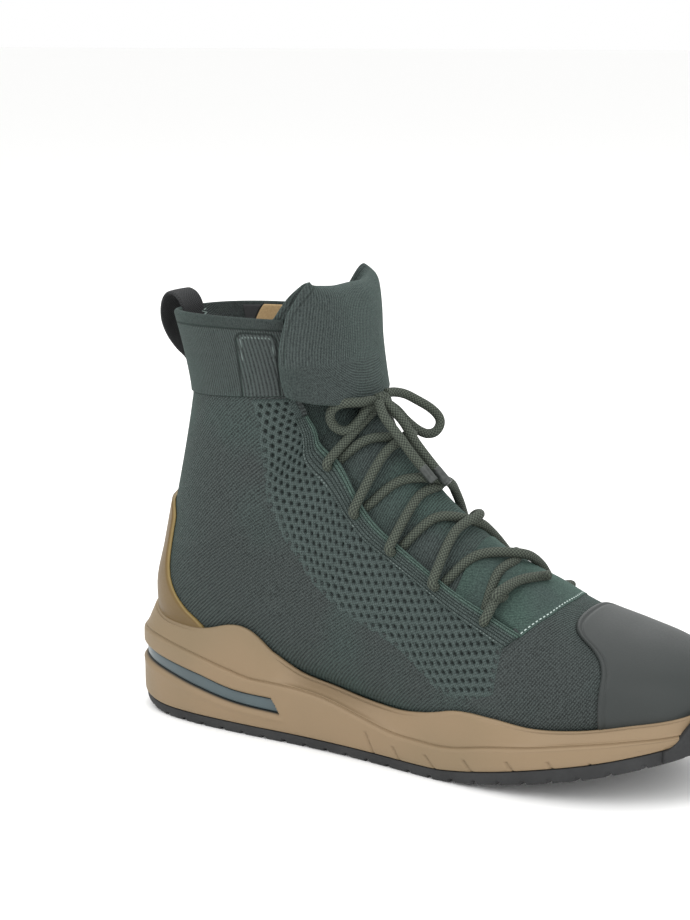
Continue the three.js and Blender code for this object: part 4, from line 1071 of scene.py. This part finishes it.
def makeCollarPatches():  # thin patches on the inside of the collar's far wall
    for name, patch in collarPatches.items():
        rows, shares = edgeShares(30, 0.03), edgeShares(24, 0.05)
        t = mix(*patch["rows"], rows)[:, None]
        low, high = (turn + lean * (collarRow - t) for turn, lean in zip(patch["turns"], patch["lean"]))
        turn = mix(low, high, shares[None])
        full = edgeRound(rows, 0.03)[:, None] * edgeRound(shares, 0.05)[None]
        wall = 0.05 - last["wall"]  # just within the wall
        gridPiece(name, collarPoint(t, turn, wall - patchThickness * full),
                  collarPoint(t, turn, wall + 0 * turn), patch["finish"])


zigzag = {"top": 19.86, "step": 0.06, "swing": 0.007, "count": 15, "radius": 0.24}  # rows and turns


def makeLoopStitches():  # the zigzag that holds the pull loop's inner end
    for name, centre in (("loop_stitches_near", 0.965), ("loop_stitches_far", 0.035)):
        k = np.arange(zigzag["count"])
        turns = centre + np.where(k % 2, zigzag["swing"], -zigzag["swing"])
        corners = collarPoint(zigzag["top"] - zigzag["step"] * k, turns, -last["wall"] - 0.2 + 0 * turns)
        parts = [mix(a, b, np.linspace(0, 1, 6)[:-1, None]) for a, b in zip(corners, corners[1:])]
        makeTubePiece(name, np.concatenate(parts), zigzag["radius"], "stitch", [], 8)


makeUpper()
makeCollarPatches()
makeLoopStitches()
makePanel("openwork_lateral", 1)
makePanel("openwork_medial", -1)
print("upper made")


eyestay = {
    "start": 6.03,  # rows of the last, at the outer edge, and at the throat's edge
    "corner": 5.75,
    "end": 15.4,
    "lift": 0.3,
    "thickness": 1.2,
    "ribs": 7,
    "grooveWidth": 0.13,
    "grooveDepth": 0.5,
    "hole": 2.3,
    "rows": 150,
    "columns": 84,
}


def makeEyestay(name, side):
    shares, rows = edgeShares(eyestay["columns"], 0.06), edgeShares(eyestay["rows"], 0.008)
    front = mix(eyestay["start"], eyestay["corner"], shares[None])
    t = mix(front, eyestay["end"], rows[:, None])
    turn = onSide(mix(ribLine(t), throatEdge(t), shares[None]), side)
    full = edgeRound(shares, 0.06)[None] * edgeRound(rows, 0.008)[:, None]
    at = np.where(shares < 0.2, shares, shares - 0.03) * eyestay["ribs"]  # a wider strip beside the openwork
    nearest = np.clip(np.round(at), 1, eyestay["ribs"] - 1)
    # groove sets the ribs' sunken grooves and where the painted shade in them goes
    groove = np.exp(-((at - nearest) / eyestay["grooveWidth"]) ** 2)[None] + 0 * turn
    ridge = (1 - smooth(shares, 0.62, 0.8))[None] + 0 * turn
    stitch = np.exp(-((shares - 0.075) / 0.02) ** 2)[None] + 0 * turn
    lift = eyestay["lift"] + (eyestay["thickness"] - eyestay["grooveDepth"] * groove) * full
    front = formPoint(t, turn, lift)
    back = formPoint(t, turn, eyestay["lift"] + 0 * turn)
    piece = gridPiece(name + "_ribs", front, back, "eyestay", node=name,
                      marks={"ridge": ridge, "groove": groove, "stitch": stitch})
    cutHoles(piece, side)


def cutHoles(piece, side):
    for row, turn in eyeletTable:
        turn = onSide(turn, side)
        row = innerRow(row, turn)
        centre, out = lastPoint(row, turn), lastNormal(row, turn)
        path = [centre + out * (k - 2) for k in range(8)]
        grid, faces, _ = tube(path, eyestay["hole"], 20)
        cutter = bpy.data.meshes.new("hole")
        cutter.from_pydata(shoe(grid.reshape(-1, 3)).tolist(), [], faces.tolist())
        finishMesh(cutter, 1e-6)
        tool = bpy.data.objects.new("hole", cutter)
        bpy.context.scene.collection.objects.link(tool)
        cut = piece.modifiers.new("hole", "BOOLEAN")
        cut.operation, cut.solver, cut.object = "DIFFERENCE", "EXACT", tool
        bpy.context.view_layer.objects.active = piece
        bpy.ops.object.modifier_apply(modifier=cut.name)
        bpy.data.objects.remove(tool)
        bpy.data.meshes.remove(cutter)


makeEyestay("eyestay_lateral", 1)
makeEyestay("eyestay_medial", -1)
print("throat edges made")


toeCap = {
    "middle": 3, "lift": 0.3, "thickness": 1.7, "edge": 1.6, "groove": 2.9, "grooveWidth": 0.7,
    "grooveDepth": 0.4, "below": 2.0, "columns": 118,
}

# y as a share of the half width, x as a share of the upper's length: the rear edge from above
capTable = np.array([[0, 0.783], [0.37, 0.784], [0.52, 0.796], [0.58, 0.823], [0.67, 0.844], [0.77, 0.855],
                     [1.3, 0.86]])


def rimTurn(t, below, side):  # the turn where the last passes the foam's rim
    def over(turn):
        point = lastPoint(t, onSide(turn, side))
        return point[..., 2] - rimHeight(point[..., 0]) + below
    return solve(over, 0.02 + 0 * t, 0.45 + 0 * t)


def makeToeCap():
    samples = np.linspace(0, 6, 121)
    lows = rimTurn(samples, toeCap["below"], 1)
    highs = 1 - rimTurn(samples, toeCap["below"], -1)
    w = edgeShares(toeCap["columns"], 0.01)

    def turnAt(t):
        return mix(np.interp(t, samples, lows), np.interp(t, samples, highs), w)

    def behind(t):
        point = lastPoint(t, turnAt(t))
        y = np.abs(point[..., 1] - toeCap["middle"]) / (last["ballWidth"] / 2)
        rear = last["start"] + last["length"] * byShare(capTable, y)[..., 0]
        return rear - point[..., 0]

    ends = softenedLine(solve(behind, 0.3 + 0 * w, 6 + 0 * w), 1.5)
    shares = np.concatenate([np.linspace(0, 0.9, 70), np.linspace(0.9, 1, 44)[1:]])
    t = shares[:, None] * ends[None]
    turn = turnAt(t)
    base = formPoint(t, turn, toeCap["lift"] + 0 * t)
    _, v = gridLengths(base)
    toEdge = v[-1:] - v
    full = rounded(toEdge, toeCap["edge"])
    groove = np.exp(-((toEdge - toeCap["groove"]) / toeCap["grooveWidth"]) ** 2)
    front = formPoint(t, turn, toeCap["lift"] + toeCap["thickness"] * full - toeCap["grooveDepth"] * groove)
    gridPiece("toe_cap_shell", front, base, "cap", node="toe_cap")


makeToeCap()
print("toe cap made")


counter = {
    "lift": 0.3, "thickness": 1.9, "edge": 1.5, "low": 46.0, "top": 110.8, "edgeWidth": 0.4, "rows": 84,
    "columns": 90,
}

# z as a share of the collar's height, x as a share of the upper's length
counterTable = np.array([
    [0.2, 0.128], [0.235, 0.128], [0.255, 0.118], [0.285, 0.09], [0.32, 0.068], [0.36, 0.055], [0.42, 0.054],
    [0.47, 0.057], [0.512, 0.06], [0.538, 0.046], [0.551, 0.02], [0.556, -0.01],
])


def heelRow(turn, z):  # the row of the last where a turn reaches a height
    return solve(lambda t: lastPoint(t, turn)[..., 2] - z, 7 + 0 * turn + 0 * z, 19.5 + 0 * turn + 0 * z)


def makeCounter():
    heights = mix(counter["low"], counter["top"], edgeShares(counter["rows"], 0.02))
    turns = np.linspace(0, 0.34, 60)
    x = lastPoint(heelRow(turns[None], heights[:, None]), turns[None] + 0 * heights[:, None])[..., 0]
    edge = last["start"] + last["length"] * byShare(counterTable, heights / last["collar"])[..., 0]
    ends = np.array([np.interp(e, line, turns) for e, line in zip(edge, x)])
    shares = edgeShares(counter["columns"], 0.03)
    turn = mix(-ends[:, None], ends[:, None], shares[None])
    t = heelRow(turn, heights[:, None])
    base = formPoint(t, turn, counter["lift"] + 0 * t)
    u, v = gridLengths(base)
    toEdge = np.minimum(u, u[:, -1:] - u)
    toEdge = np.minimum(toEdge, v[-1:] - v)
    full = rounded(toEdge, counter["edge"])
    # the lighter edge line: partly a light stitched edge, partly a painted highlight on the rounded edge
    light = 1 - smooth(toEdge, counter["edgeWidth"] - 0.3, counter["edgeWidth"] + 0.2)
    front = formPoint(t, turn, counter["lift"] + counter["thickness"] * full)
    gridPiece("heel_counter_shell", front, base, "counter", node="heel_counter", marks={"edge": light})


makeCounter()
print("heel counter made")


tongue = {
    "rows": 190, "columns": 72, "leafSteps": 13, "thickness": 3.2, "margin": 0.035, "gap": 1.3,
    "plainFrom": 0.74, "slack": 0.35,
}

# reach in front of the shaft and beside its middle, how much less on the far side, width, and rises over
# the collar at the front and side
flapTable = np.array([
    [-8, 21, 0, 0.84, 5, 5], [-8, 28, 2, 0.84, 12, 14], [-6.5, 36, 6, 0.86, 16, 20.5],
    [-3.5, 40, 9, 0.92, 17, 22], [0, 38, 9, 0.98, 13.5, 18], [2.6, 31, 5, 1.02, 4, 6],
    [3.2, 27, 1.5, 1.03, -10, -10], [4.4, 28, 0, 1.04, -24, -23], [6, 31, 0, 1.04, -36.6, -31],
])


def makeTongue():
    across = edgeShares(tongue["columns"], 0.012)
    leafSteps = tongue["leafSteps"]
    rows = []
    inset = last["wall"] + tongue["gap"] + tongue["thickness"] / 2
    for t in np.linspace(throatTable[0][0] - 0.35, collarRow - 0.15, leafSteps + 1):
        edge = float(throatEdge(t)) - tongue["margin"]
        turn = mix(edge, 1 - edge, across)
        depth = inset + (last["bandThickness"] if t > last["bandRow"] + 0.1 else 0)
        rows.append(formPoint(t + 0 * turn, turn, -depth + 0 * turn))
    shaft, rim = lastPoint(collarRow, 0.5), lastPoint(collarRow, 0.0)
    middle = (shaft[0] + rim[0]) / 2
    angle = mix(-np.pi / 2, np.pi / 2, across)
    bow = np.maximum(np.cos(angle), 0) ** 0.8
    for front, side, less, width, frontRise, sideRise in flapTable:
        rows.append(np.stack([mix(middle + side - less * (angle > 0), shaft[0] + front, bow),
                              width * last["ankleWidth"] / 2 * np.sin(angle),
                              shaft[2] + mix(sideRise, frontRise, bow)], 1))
    rows = np.array(rows)
    shares = edgeShares(tongue["rows"], 0.006)
    grid = spline(rows.reshape(len(rows), -1), shares * (len(rows) - 1)).reshape(len(shares), -1, 3)
    flapStart = leafSteps / (len(rows) - 1)
    down = np.clip((shares - flapStart) / (1 - flapStart), 0, 1)
    normal = gridNormal(grid)
    waves = np.sin(across[None] * 11 + down[:, None] * 5 + 1)
    waves = waves + 0.6 * np.sin(across[None] * 23 - down[:, None] * 9)
    fade = np.sin(np.pi * np.clip(down * 1.15 - 0.1, 0, 1))[:, None]
    grid = grid + normal * (tongue["slack"] * waves * fade)[..., None]
    normal = gridNormal(grid)
    full = edgeRound(across, 0.012)[None] * edgeRound(shares, 0.006)[:, None]
    half = tongue["thickness"] / 2 * full[..., None]
    plainFrom = tongue["plainFrom"]
    ribbed = smooth(down, 0.02, 0.06) * (1 - smooth(down, plainFrom + 0.08, plainFrom + 0.1))
    ribbed = ribbed[:, None] + 0 * full
    leaf = (1 - smooth(down, 0, 0.03))[:, None] + 0 * full
    u, v = gridLengths(grid)
    gridPiece("tongue_knit", grid - normal * half, grid + normal * half, "tongue", node="tongue",
              marks={"ribbed": ribbed, "leaf": leaf, "edgeAt": np.minimum(u, u[:, -1:] - u)},
              lengths=(u - u[:, -1:] / 2, v))


throatBase = {
    "side": 0.336,  # the turn where the seam starts
    "back": 7.3, "tuck": 0.018, "lift": 0.35, "sunk": 3.5, "thickness": 0.9,
    "roundLength": 280,  # millimetres in a whole turn
}

# the light seam in front of the throat: turn and row of the last
seamTable = np.array([[0.336, 5.98], [0.365, 5.75], [0.398, 5.55], [0.432, 5.38], [0.48, 5.28], [0.52, 5.27],
                      [0.582, 5.42], [0.62, 5.58], [0.664, 5.85]])


def makeThroatBase():  # the felt in front of the tongue, sewn to the upper along a line of light stitches
    across, down = edgeShares(66, 0.01), edgeShares(70, 0.01)
    side = throatBase["side"]
    front = byShare(seamTable, mix(side, 1 - side, across))[..., 0]
    t = mix(front[None], throatBase["back"], down[:, None])
    edge = mix(side, throatEdge(t) - throatBase["tuck"], smooth(t, 5.75, 6.3))
    turn = mix(edge, 1 - edge, across[None])
    fromEdge = (0.5 - np.abs(turn - 0.5) - throatEdge(t)) * throatBase["roundLength"]
    level = throatBase["lift"] - throatBase["sunk"] * smooth(t, 5.7, 7.2)
    level = mix(level, np.minimum(level, -3.0), (1 - smooth(fromEdge, -1.0, 1.6)) * smooth(t, 5.75, 5.95))
    face = formPoint(t, turn, level)
    u, v = gridLengths(face)
    gridPiece("tongue_base", face, formPoint(t, turn, level - throatBase["thickness"]), "base",
              marks={"stitchAt": v}, lengths=(u, v))


makeTongue()
makeThroatBase()
print("tongue made")


pullLoop = {"width": 18, "thickness": 1.6, "bow": 5.6, "rows": 130, "columns": 26}

# forwards and up from the rim's back edge
strapTable = np.array([
    [2.2, -9], [2.0, -4], [1.2, 2.5], [-2, 7.2], [-7, 8.6], [-10.5, 4], [-11, -4], [-8, -11.5], [-3, -17.5],
    [2.5, -22], [6.6, -27],
], float)


def makePullLoop():
    rim = lastPoint(collarRow, 0.0)
    line = curveThrough(strapTable, pullLoop["rows"])
    shares = edgeShares(pullLoop["columns"], 0.05)
    y = (shares - 0.5) * pullLoop["width"]
    bow = pullLoop["bow"] * (shares - 0.5) ** 2
    grid = np.stack(np.broadcast_arrays(rim[0] + line[:, :1] + bow[None], y[None] + 0 * line[:, :1],
                                        rim[2] + line[:, 1:]), -1)
    normal = gridNormal(grid)
    full = edgeRound(shares, 0.05)[None] * edgeRound(np.linspace(0, 1, len(line)), 0.012)[:, None]
    half = pullLoop["thickness"] / 2 * full[..., None]
    gridPiece("pull_loop_webbing", grid - normal * half, grid + normal * half, "webbing", node="pull_loop")


makePullLoop()
print("pull loop made")


midsole = {
    "stations": 983, "windowReach": 91.0, "windowSlant": 4.6, "windowDepth": 5.0, "slashWidth": 0.8,
    "slashDepth": 1.2, "frame": 0.45, "floorInset": 12, "floorDrop": 3,
}


def lastTree():
    t, turn = np.linspace(0, collarRow, 241)[:, None], np.linspace(0, 1, 241)[None]
    grid = lastPoint(t, turn)
    return BVHTree.FromPolygons(grid.reshape(-1, 3).tolist(), gridQuads(*grid.shape[:2]).tolist())


def gapsToLast(tree, ring, inward, heights):  # how far inside the outline the last lies
    gaps = np.full(len(ring), 20.0)
    for k, (point, way, z) in enumerate(zip(ring, inward, heights)):
        start = Vector((point[0] - way[0] * 5, point[1] - way[1] * 5, z))
        hit = tree.ray_cast(start, Vector((way[0], way[1], 0)))
        if hit[0] is not None:
            gaps[k] = hit[3] - 5
    return gaps


def slotDepth(x, z, low, top):  # how deep the window's slot is at a place on the wall
    across = (z - low) / (top - low)
    reach = midsole["windowReach"] - midsole["windowSlant"] * across
    inside = smooth(z, low - 0.15, low + 0.35) * (1 - smooth(z, top - 0.35, top + 0.15))
    return inside * (1 - smooth(x, reach - 0.35, reach + 0.35))


def slashDepths(x, z):
    depth = 0 * x
    for start, top, run in slashTable:
        x0 = sole["start"] + start * sole["length"]
        x1 = x0 + run * sole["wrap"]
        z0, z1 = springHeight(x0) + top * sole["wrap"], treadHeight(x1) - 1
        share = (x - x0) * (x1 - x0) + (z - z0) * (z1 - z0)
        share = np.clip(share / ((x1 - x0) ** 2 + (z1 - z0) ** 2), 0, 1)
        apart = np.hypot(x - mix(x0, x1, share), z - mix(z0, z1, share))
        depth = np.maximum(depth, np.clip(1 - apart / midsole["slashWidth"], 0, 1) * smooth(share, 0, 0.12))
    return depth


def wallRows(levels, counts, x):  # insets and heights of a wall's rows, smooth through its levels
    insets, heights = (np.array([level[k] + 0 * x for level in levels]) for k in (0, 1))
    steps = np.concatenate([i + np.arange(n) / n for i, n in enumerate(counts)] + [[len(levels) - 1]])
    return spline(insets, steps), spline(heights, steps)


def makeMidsole():
    ring, inward = soleRing(midsole["stations"])
    x = ring[:, 0]
    tree = lastTree()
    tread, crease, rim = treadHeight(x), creaseHeight(x), rimHeight(x)
    low, top = (line + 0 * x for line in windowHeights(x))
    fade = smooth(x, 92, 150)  # the window's lines run out into the slab
    low = mix(low, mix(tread, crease, 0.4), fade)
    top = mix(top, mix(tread, crease, 0.7), fade)
    shares = (0.22, 0.45, 0.65, 0.85, 1.0)
    rimGap = gapsToLast(tree, ring, inward, rim) - sole["lip"]
    wraps = []
    for share in shares:
        here = gapsToLast(tree, ring, inward, mix(crease, rim, share)) - sole["lip"]
        inset = np.maximum(0.6, np.minimum(mix(1.6, rimGap, share), here))
        wraps.append(softened(inset[:, None], 5)[:, 0])
    levels = [(1.4, tread), (0.35, tread + 0.7), (0, tread + 2.6), (0, mix(tread + 2.6, low, 0.5)),
              (0, low), (0.05, top), (0.1, mix(top, crease, 0.5)), (0.2, crease - 1.5),
              (0.75, crease - 0.4), (1.95, crease), (1.65, crease + 0.7)]
    counts = [3, 3, 4, 4, 12, 5, 5, 5, 4, 3]
    levels += [(inset, mix(crease, rim, share)) for inset, share in zip(wraps[:-1], shares[:-1])]
    levels += [(wraps[-1] - 0.1, rim - 1.3), (wraps[-1] + 0.35, rim - 0.25), (wraps[-1] + 1.1, rim),
               (wraps[-1] + 2.4, rim - 0.5), (wraps[-1] + 3.6, rim - 3)]
    counts += [4, 4, 4, 4, 4, 4, 3, 3, 2]
    inset, z = wallRows(levels, counts, x)
    xs = x[None] + 0 * z
    slot = slotDepth(xs, z, low[None], top[None])
    ridge = np.exp(-((z - low[None] + 2.6) / 0.9) ** 2) * (1 - smooth(xs, 92, 96)) * (x[None] < 110)
    cuts = slashDepths(xs, z)
    inset = inset + slot * midsole["windowDepth"] + cuts * midsole["slashDepth"] - ridge * midsole["frame"]
    wall = raised(ring[None] + inward[None] * inset[..., None], z)
    floorRow = raised(ring + inward * midsole["floorInset"], seatHeight(x) - midsole["floorDrop"])
    rows = np.concatenate([wall, floorRow[None]])
    count = len(ring)
    quads = [gridQuads(len(rows), count, closed=True)]
    for level in (0, len(rows) - 1):  # closed by strips straight across
        a = np.arange(count // 2)
        b = (count - a) % count
        strip = np.stack([a, a + 1, (b - 1) % count, b], 1) + level * count
        quads.append(strip[1:] if level else strip[1:, ::-1])
    # the slot mark also places the painted shadow on the slot's walls
    marks = {"slot": np.concatenate([slot, np.zeros((1, count))]) * 1.0}
    makePiece("foam_midsole", rows, np.concatenate(quads), materials["foam"], ["midsole"],
              marks=marks)
    makeWindow(ring, inward)


window = {"recess": 2.0, "depth": 4.6, "gap": 0.6, "crown": 0.5, "stations": 210}


def makeWindow(ring, inward):
    reach = [outlineAt(np.array(midsole["windowReach"]), side) for side in (-1, 1)]
    shares = edgeShares(window["stations"], 0.004)
    lowS = np.where(shares < 0.5, mix(reach[0], 0, shares * 2), mix(0, reach[1], shares * 2 - 1))
    side = np.where(shares < 0.5, -1, 1)
    points, ways = outlineSmooth(ring, inward, lowS, side)
    levels = edgeShares(12, 0.12)
    low, top = windowHeights(points[:, 0])
    z = mix(low[None] + window["gap"], top[None] - window["gap"], levels[:, None])
    full = edgeRound(levels, 0.12)[:, None] * edgeRound(shares, 0.004)[None]
    crown = window["crown"] * (1 - (2 * levels[:, None] - 1) ** 2)
    toFront = np.clip(points[None, :, 0] / midsole["windowReach"], 0, 1)
    slide = midsole["windowSlant"] * levels[:, None] * toFront ** 3
    plan = points[None] - np.stack([slide, 0 * slide], -1)
    front = plan + ways[None] * (window["recess"] + 0.5 - 0.5 * full - crown * 0.5)[..., None]
    back = plan + ways[None] * (window["depth"] + 0 * full)[..., None]
    gridPiece("heel_window_insert", raised(front, z), raised(back, z), "window", node="heel_window")


def outlineSmooth(ring, inward, s, side):  # the smoothed outline at places along it
    target = outlinePoint(s, side)
    closed, ways = np.concatenate([ring, ring[:1]]), np.concatenate([inward, inward[:1]])
    points, found = [], []
    for point, way in zip(target, side):
        half = slice(0, len(ring) // 2 + 60) if way < 0 else slice(len(ring) // 2 - 60, len(closed))
        apart = ((closed[half] - point) ** 2).sum(1)
        k = int(np.argmin(apart)) + half.start
        points.append(closed[k])
        found.append(ways[k])
    points = np.array(points)
    return (np.stack([softenedLine(points[:, k], 1.2) for k in (0, 1)], 1),
            unit(np.stack([softenedLine(np.array(found)[:, k], 1.2) for k in (0, 1)], 1)))


makeMidsole()
print("midsole made")


outsole = {
    "stations": 560, "acrossSteps": 52, "pitch": 12.0, "groove": 2.2, "depth": 2.4, "sideDepth": 1.3,
    "chevron": 9.0,
}


def grooveDepth(x, y):  # chevron grooves across the tread
    shift = outsole["chevron"] * (1 - np.clip(np.abs(y) / (sole["width"] / 2 + 6), 0, 1))
    place = (x - shift - sole["start"]) / outsole["pitch"]
    apart = np.abs(place - np.round(place)) * outsole["pitch"]
    ends = (np.round(place) > 0.5) & (np.round(place) < sole["length"] / outsole["pitch"] - 1.2)
    return (1 - smooth(apart, outsole["groove"] / 2 - 0.4, outsole["groove"] / 2 + 0.3)) * ends


def makeOutsole():
    count = outsole["stations"]
    want = mix(sole["start"] + 0.02, sole["start"] + sole["length"] - 0.02,
               mix(np.linspace(0, 1, count), (1 - np.cos(np.linspace(0, np.pi, count))) / 2, 0.35))
    stations = np.concatenate([outlineAt(want, -1), outlineAt(want, 1)[::-1]])
    side = np.repeat([-1, 1], count)
    ring = outlinePoint(stations, side)
    ring = softened(ring, 2.0)
    inward = inwardWays(ring, 3.0)
    x = ring[:, 0]
    tread, ground = treadHeight(x) - 0.3, groundHeight(x)
    levels = [(3.0, tread), (1.5, tread), (1.05, tread - 0.35), (0.95, mix(ground, tread, 0.7)),
              (1.15, mix(ground, tread, 0.35)), (1.6, ground + 0.7), (2.3, ground + 0.08), (3.2, ground)]
    counts = [2, 3, 3, 3, 3, 3, 3]
    inset, z = wallRows(levels, counts, x)
    plan = ring[None] + inward[None] * inset[..., None]
    share = (tread[None] - z) / (tread - ground)[None]
    cut = grooveDepth(plan[..., 0], plan[..., 1]) * smooth(share, 0.6, 0.9)
    plan = plan + inward[None] * (cut * 0.5)[..., None]
    z = z + cut * outsole["sideDepth"]
    wall = raised(plan, z)
    quads = [gridQuads(len(wall), len(ring), closed=True)]
    acrossSteps = outsole["acrossSteps"]
    left, right = wall[-1][:count], wall[-1][count:][::-1]
    w = np.linspace(0, 1, acrossSteps + 1)[None, :, None]
    bottom = mix(left[:, None], right[:, None], w)
    xs = bottom[..., 0]
    toEdge = np.minimum(w, 1 - w)[..., 0] * np.linalg.norm(right - left, axis=1)[:, None]
    deep = mix(outsole["sideDepth"], outsole["depth"], smooth(toEdge, 0.5, 5))
    bottom[..., 2] = groundHeight(xs) + deep * grooveDepth(xs, bottom[..., 1])
    bottom[:, 0], bottom[:, -1] = left, right
    start = wall.shape[0] * wall.shape[1]
    quads.append(gridQuads(count, acrossSteps + 1, start))
    top = np.arange(count - 1)
    other = 2 * count - 1 - top
    quads.append(np.stack([top, top + 1, other - 1, other], 1)[:, ::-1])
    points = np.concatenate([wall.reshape(-1, 3), bottom.reshape(-1, 3)])
    makePiece("rubber_outsole", points, np.concatenate(quads), materials["rubber"], ["outsole"],
              weld=1e-5)


bumper = {
    "stations": 1100, "start": 282, "run": 13, "low": 1.5, "high": 0.8, "inset": 0.6, "thickness": 1.6,
    "back": 2.0,
}


def makeBumper():  # the tread's rubber carried up over the toe
    ring, inward = soleRing(bumper["stations"])
    x = ring[:, 0]
    start = bumper["start"]
    inside = np.where(x > start - 1)[0]
    ring, inward, x = ring[inside], inward[inside], x[inside]
    low = groundHeight(x) + bumper["low"]
    top = mix(treadHeight(x), rimHeight(x) + bumper["high"], smooth(x, start, start + bumper["run"]))
    levels = edgeShares(26, 0.1)
    z = mix(low[None], top[None], levels[:, None])
    full = edgeRound(levels, 0.1)[:, None] * edgeRound(np.linspace(0, 1, len(x)), 0.02)[None]
    front = ring[None] + inward[None] * (bumper["inset"] - bumper["thickness"] * full)[..., None]
    back = ring[None] + inward[None] * (bumper["back"] + 0 * full)[..., None]
    gridPiece("toe_bumper", raised(front, z), raised(back, z), "rubber")


makeOutsole()
makeBumper()
print("outsole made")


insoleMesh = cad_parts["insole"].data
insoleMesh.materials.clear()
insoleMesh.materials.append(materials["lining"])


def makeFloor():
    mesh = bpy.data.meshes.new("floor")
    size, steps = 14.0, 56
    line = np.linspace(-size, size, steps + 1)
    points = np.stack(np.broadcast_arrays(line[:, None], line[None], 0 * line[None]), -1).reshape(-1, 3)
    mesh.from_pydata(points.tolist(), [], gridQuads(steps + 1, steps + 1).tolist())
    mesh.materials.append(materials["floor"])
    made = bpy.data.objects.new("floor", mesh)
    bpy.context.scene.collection.objects.link(made)


lights = {
    "key": {"at": (-0.5, -1.5, 1.6), "size": 1.3, "power": 15},
    "fill": {"at": (1.4, -1.0, 0.9), "size": 1.5, "power": 9},
    "top": {"at": (0.1, 0.2, 2.0), "size": 2.0, "power": 16},
    "back": {"at": (-0.6, 1.5, 1.2), "size": 1.4, "power": 7},
}


def makeLights():
    for name, values in lights.items():
        data = bpy.data.lights.new(name, "AREA")
        data.size, data.energy = values["size"], values["power"]
        made = bpy.data.objects.new(name, data)
        made.location = values["at"]
        made.rotation_euler = (Vector((0.06, 0, 0.08)) - made.location).to_track_quat("-Z", "Y").to_euler()
        bpy.context.scene.collection.objects.link(made)
    world = bpy.data.worlds.new("world")
    bpy.context.scene.world = world
    world.use_nodes = True
    world.node_tree.nodes["Background"].inputs["Color"].default_value = (1, 1, 1, 1)
    world.node_tree.nodes["Background"].inputs["Strength"].default_value = 1.0
    bpy.context.scene.view_settings.view_transform = "Standard"


makeFloor()
makeLights()
print("floor and lights set")
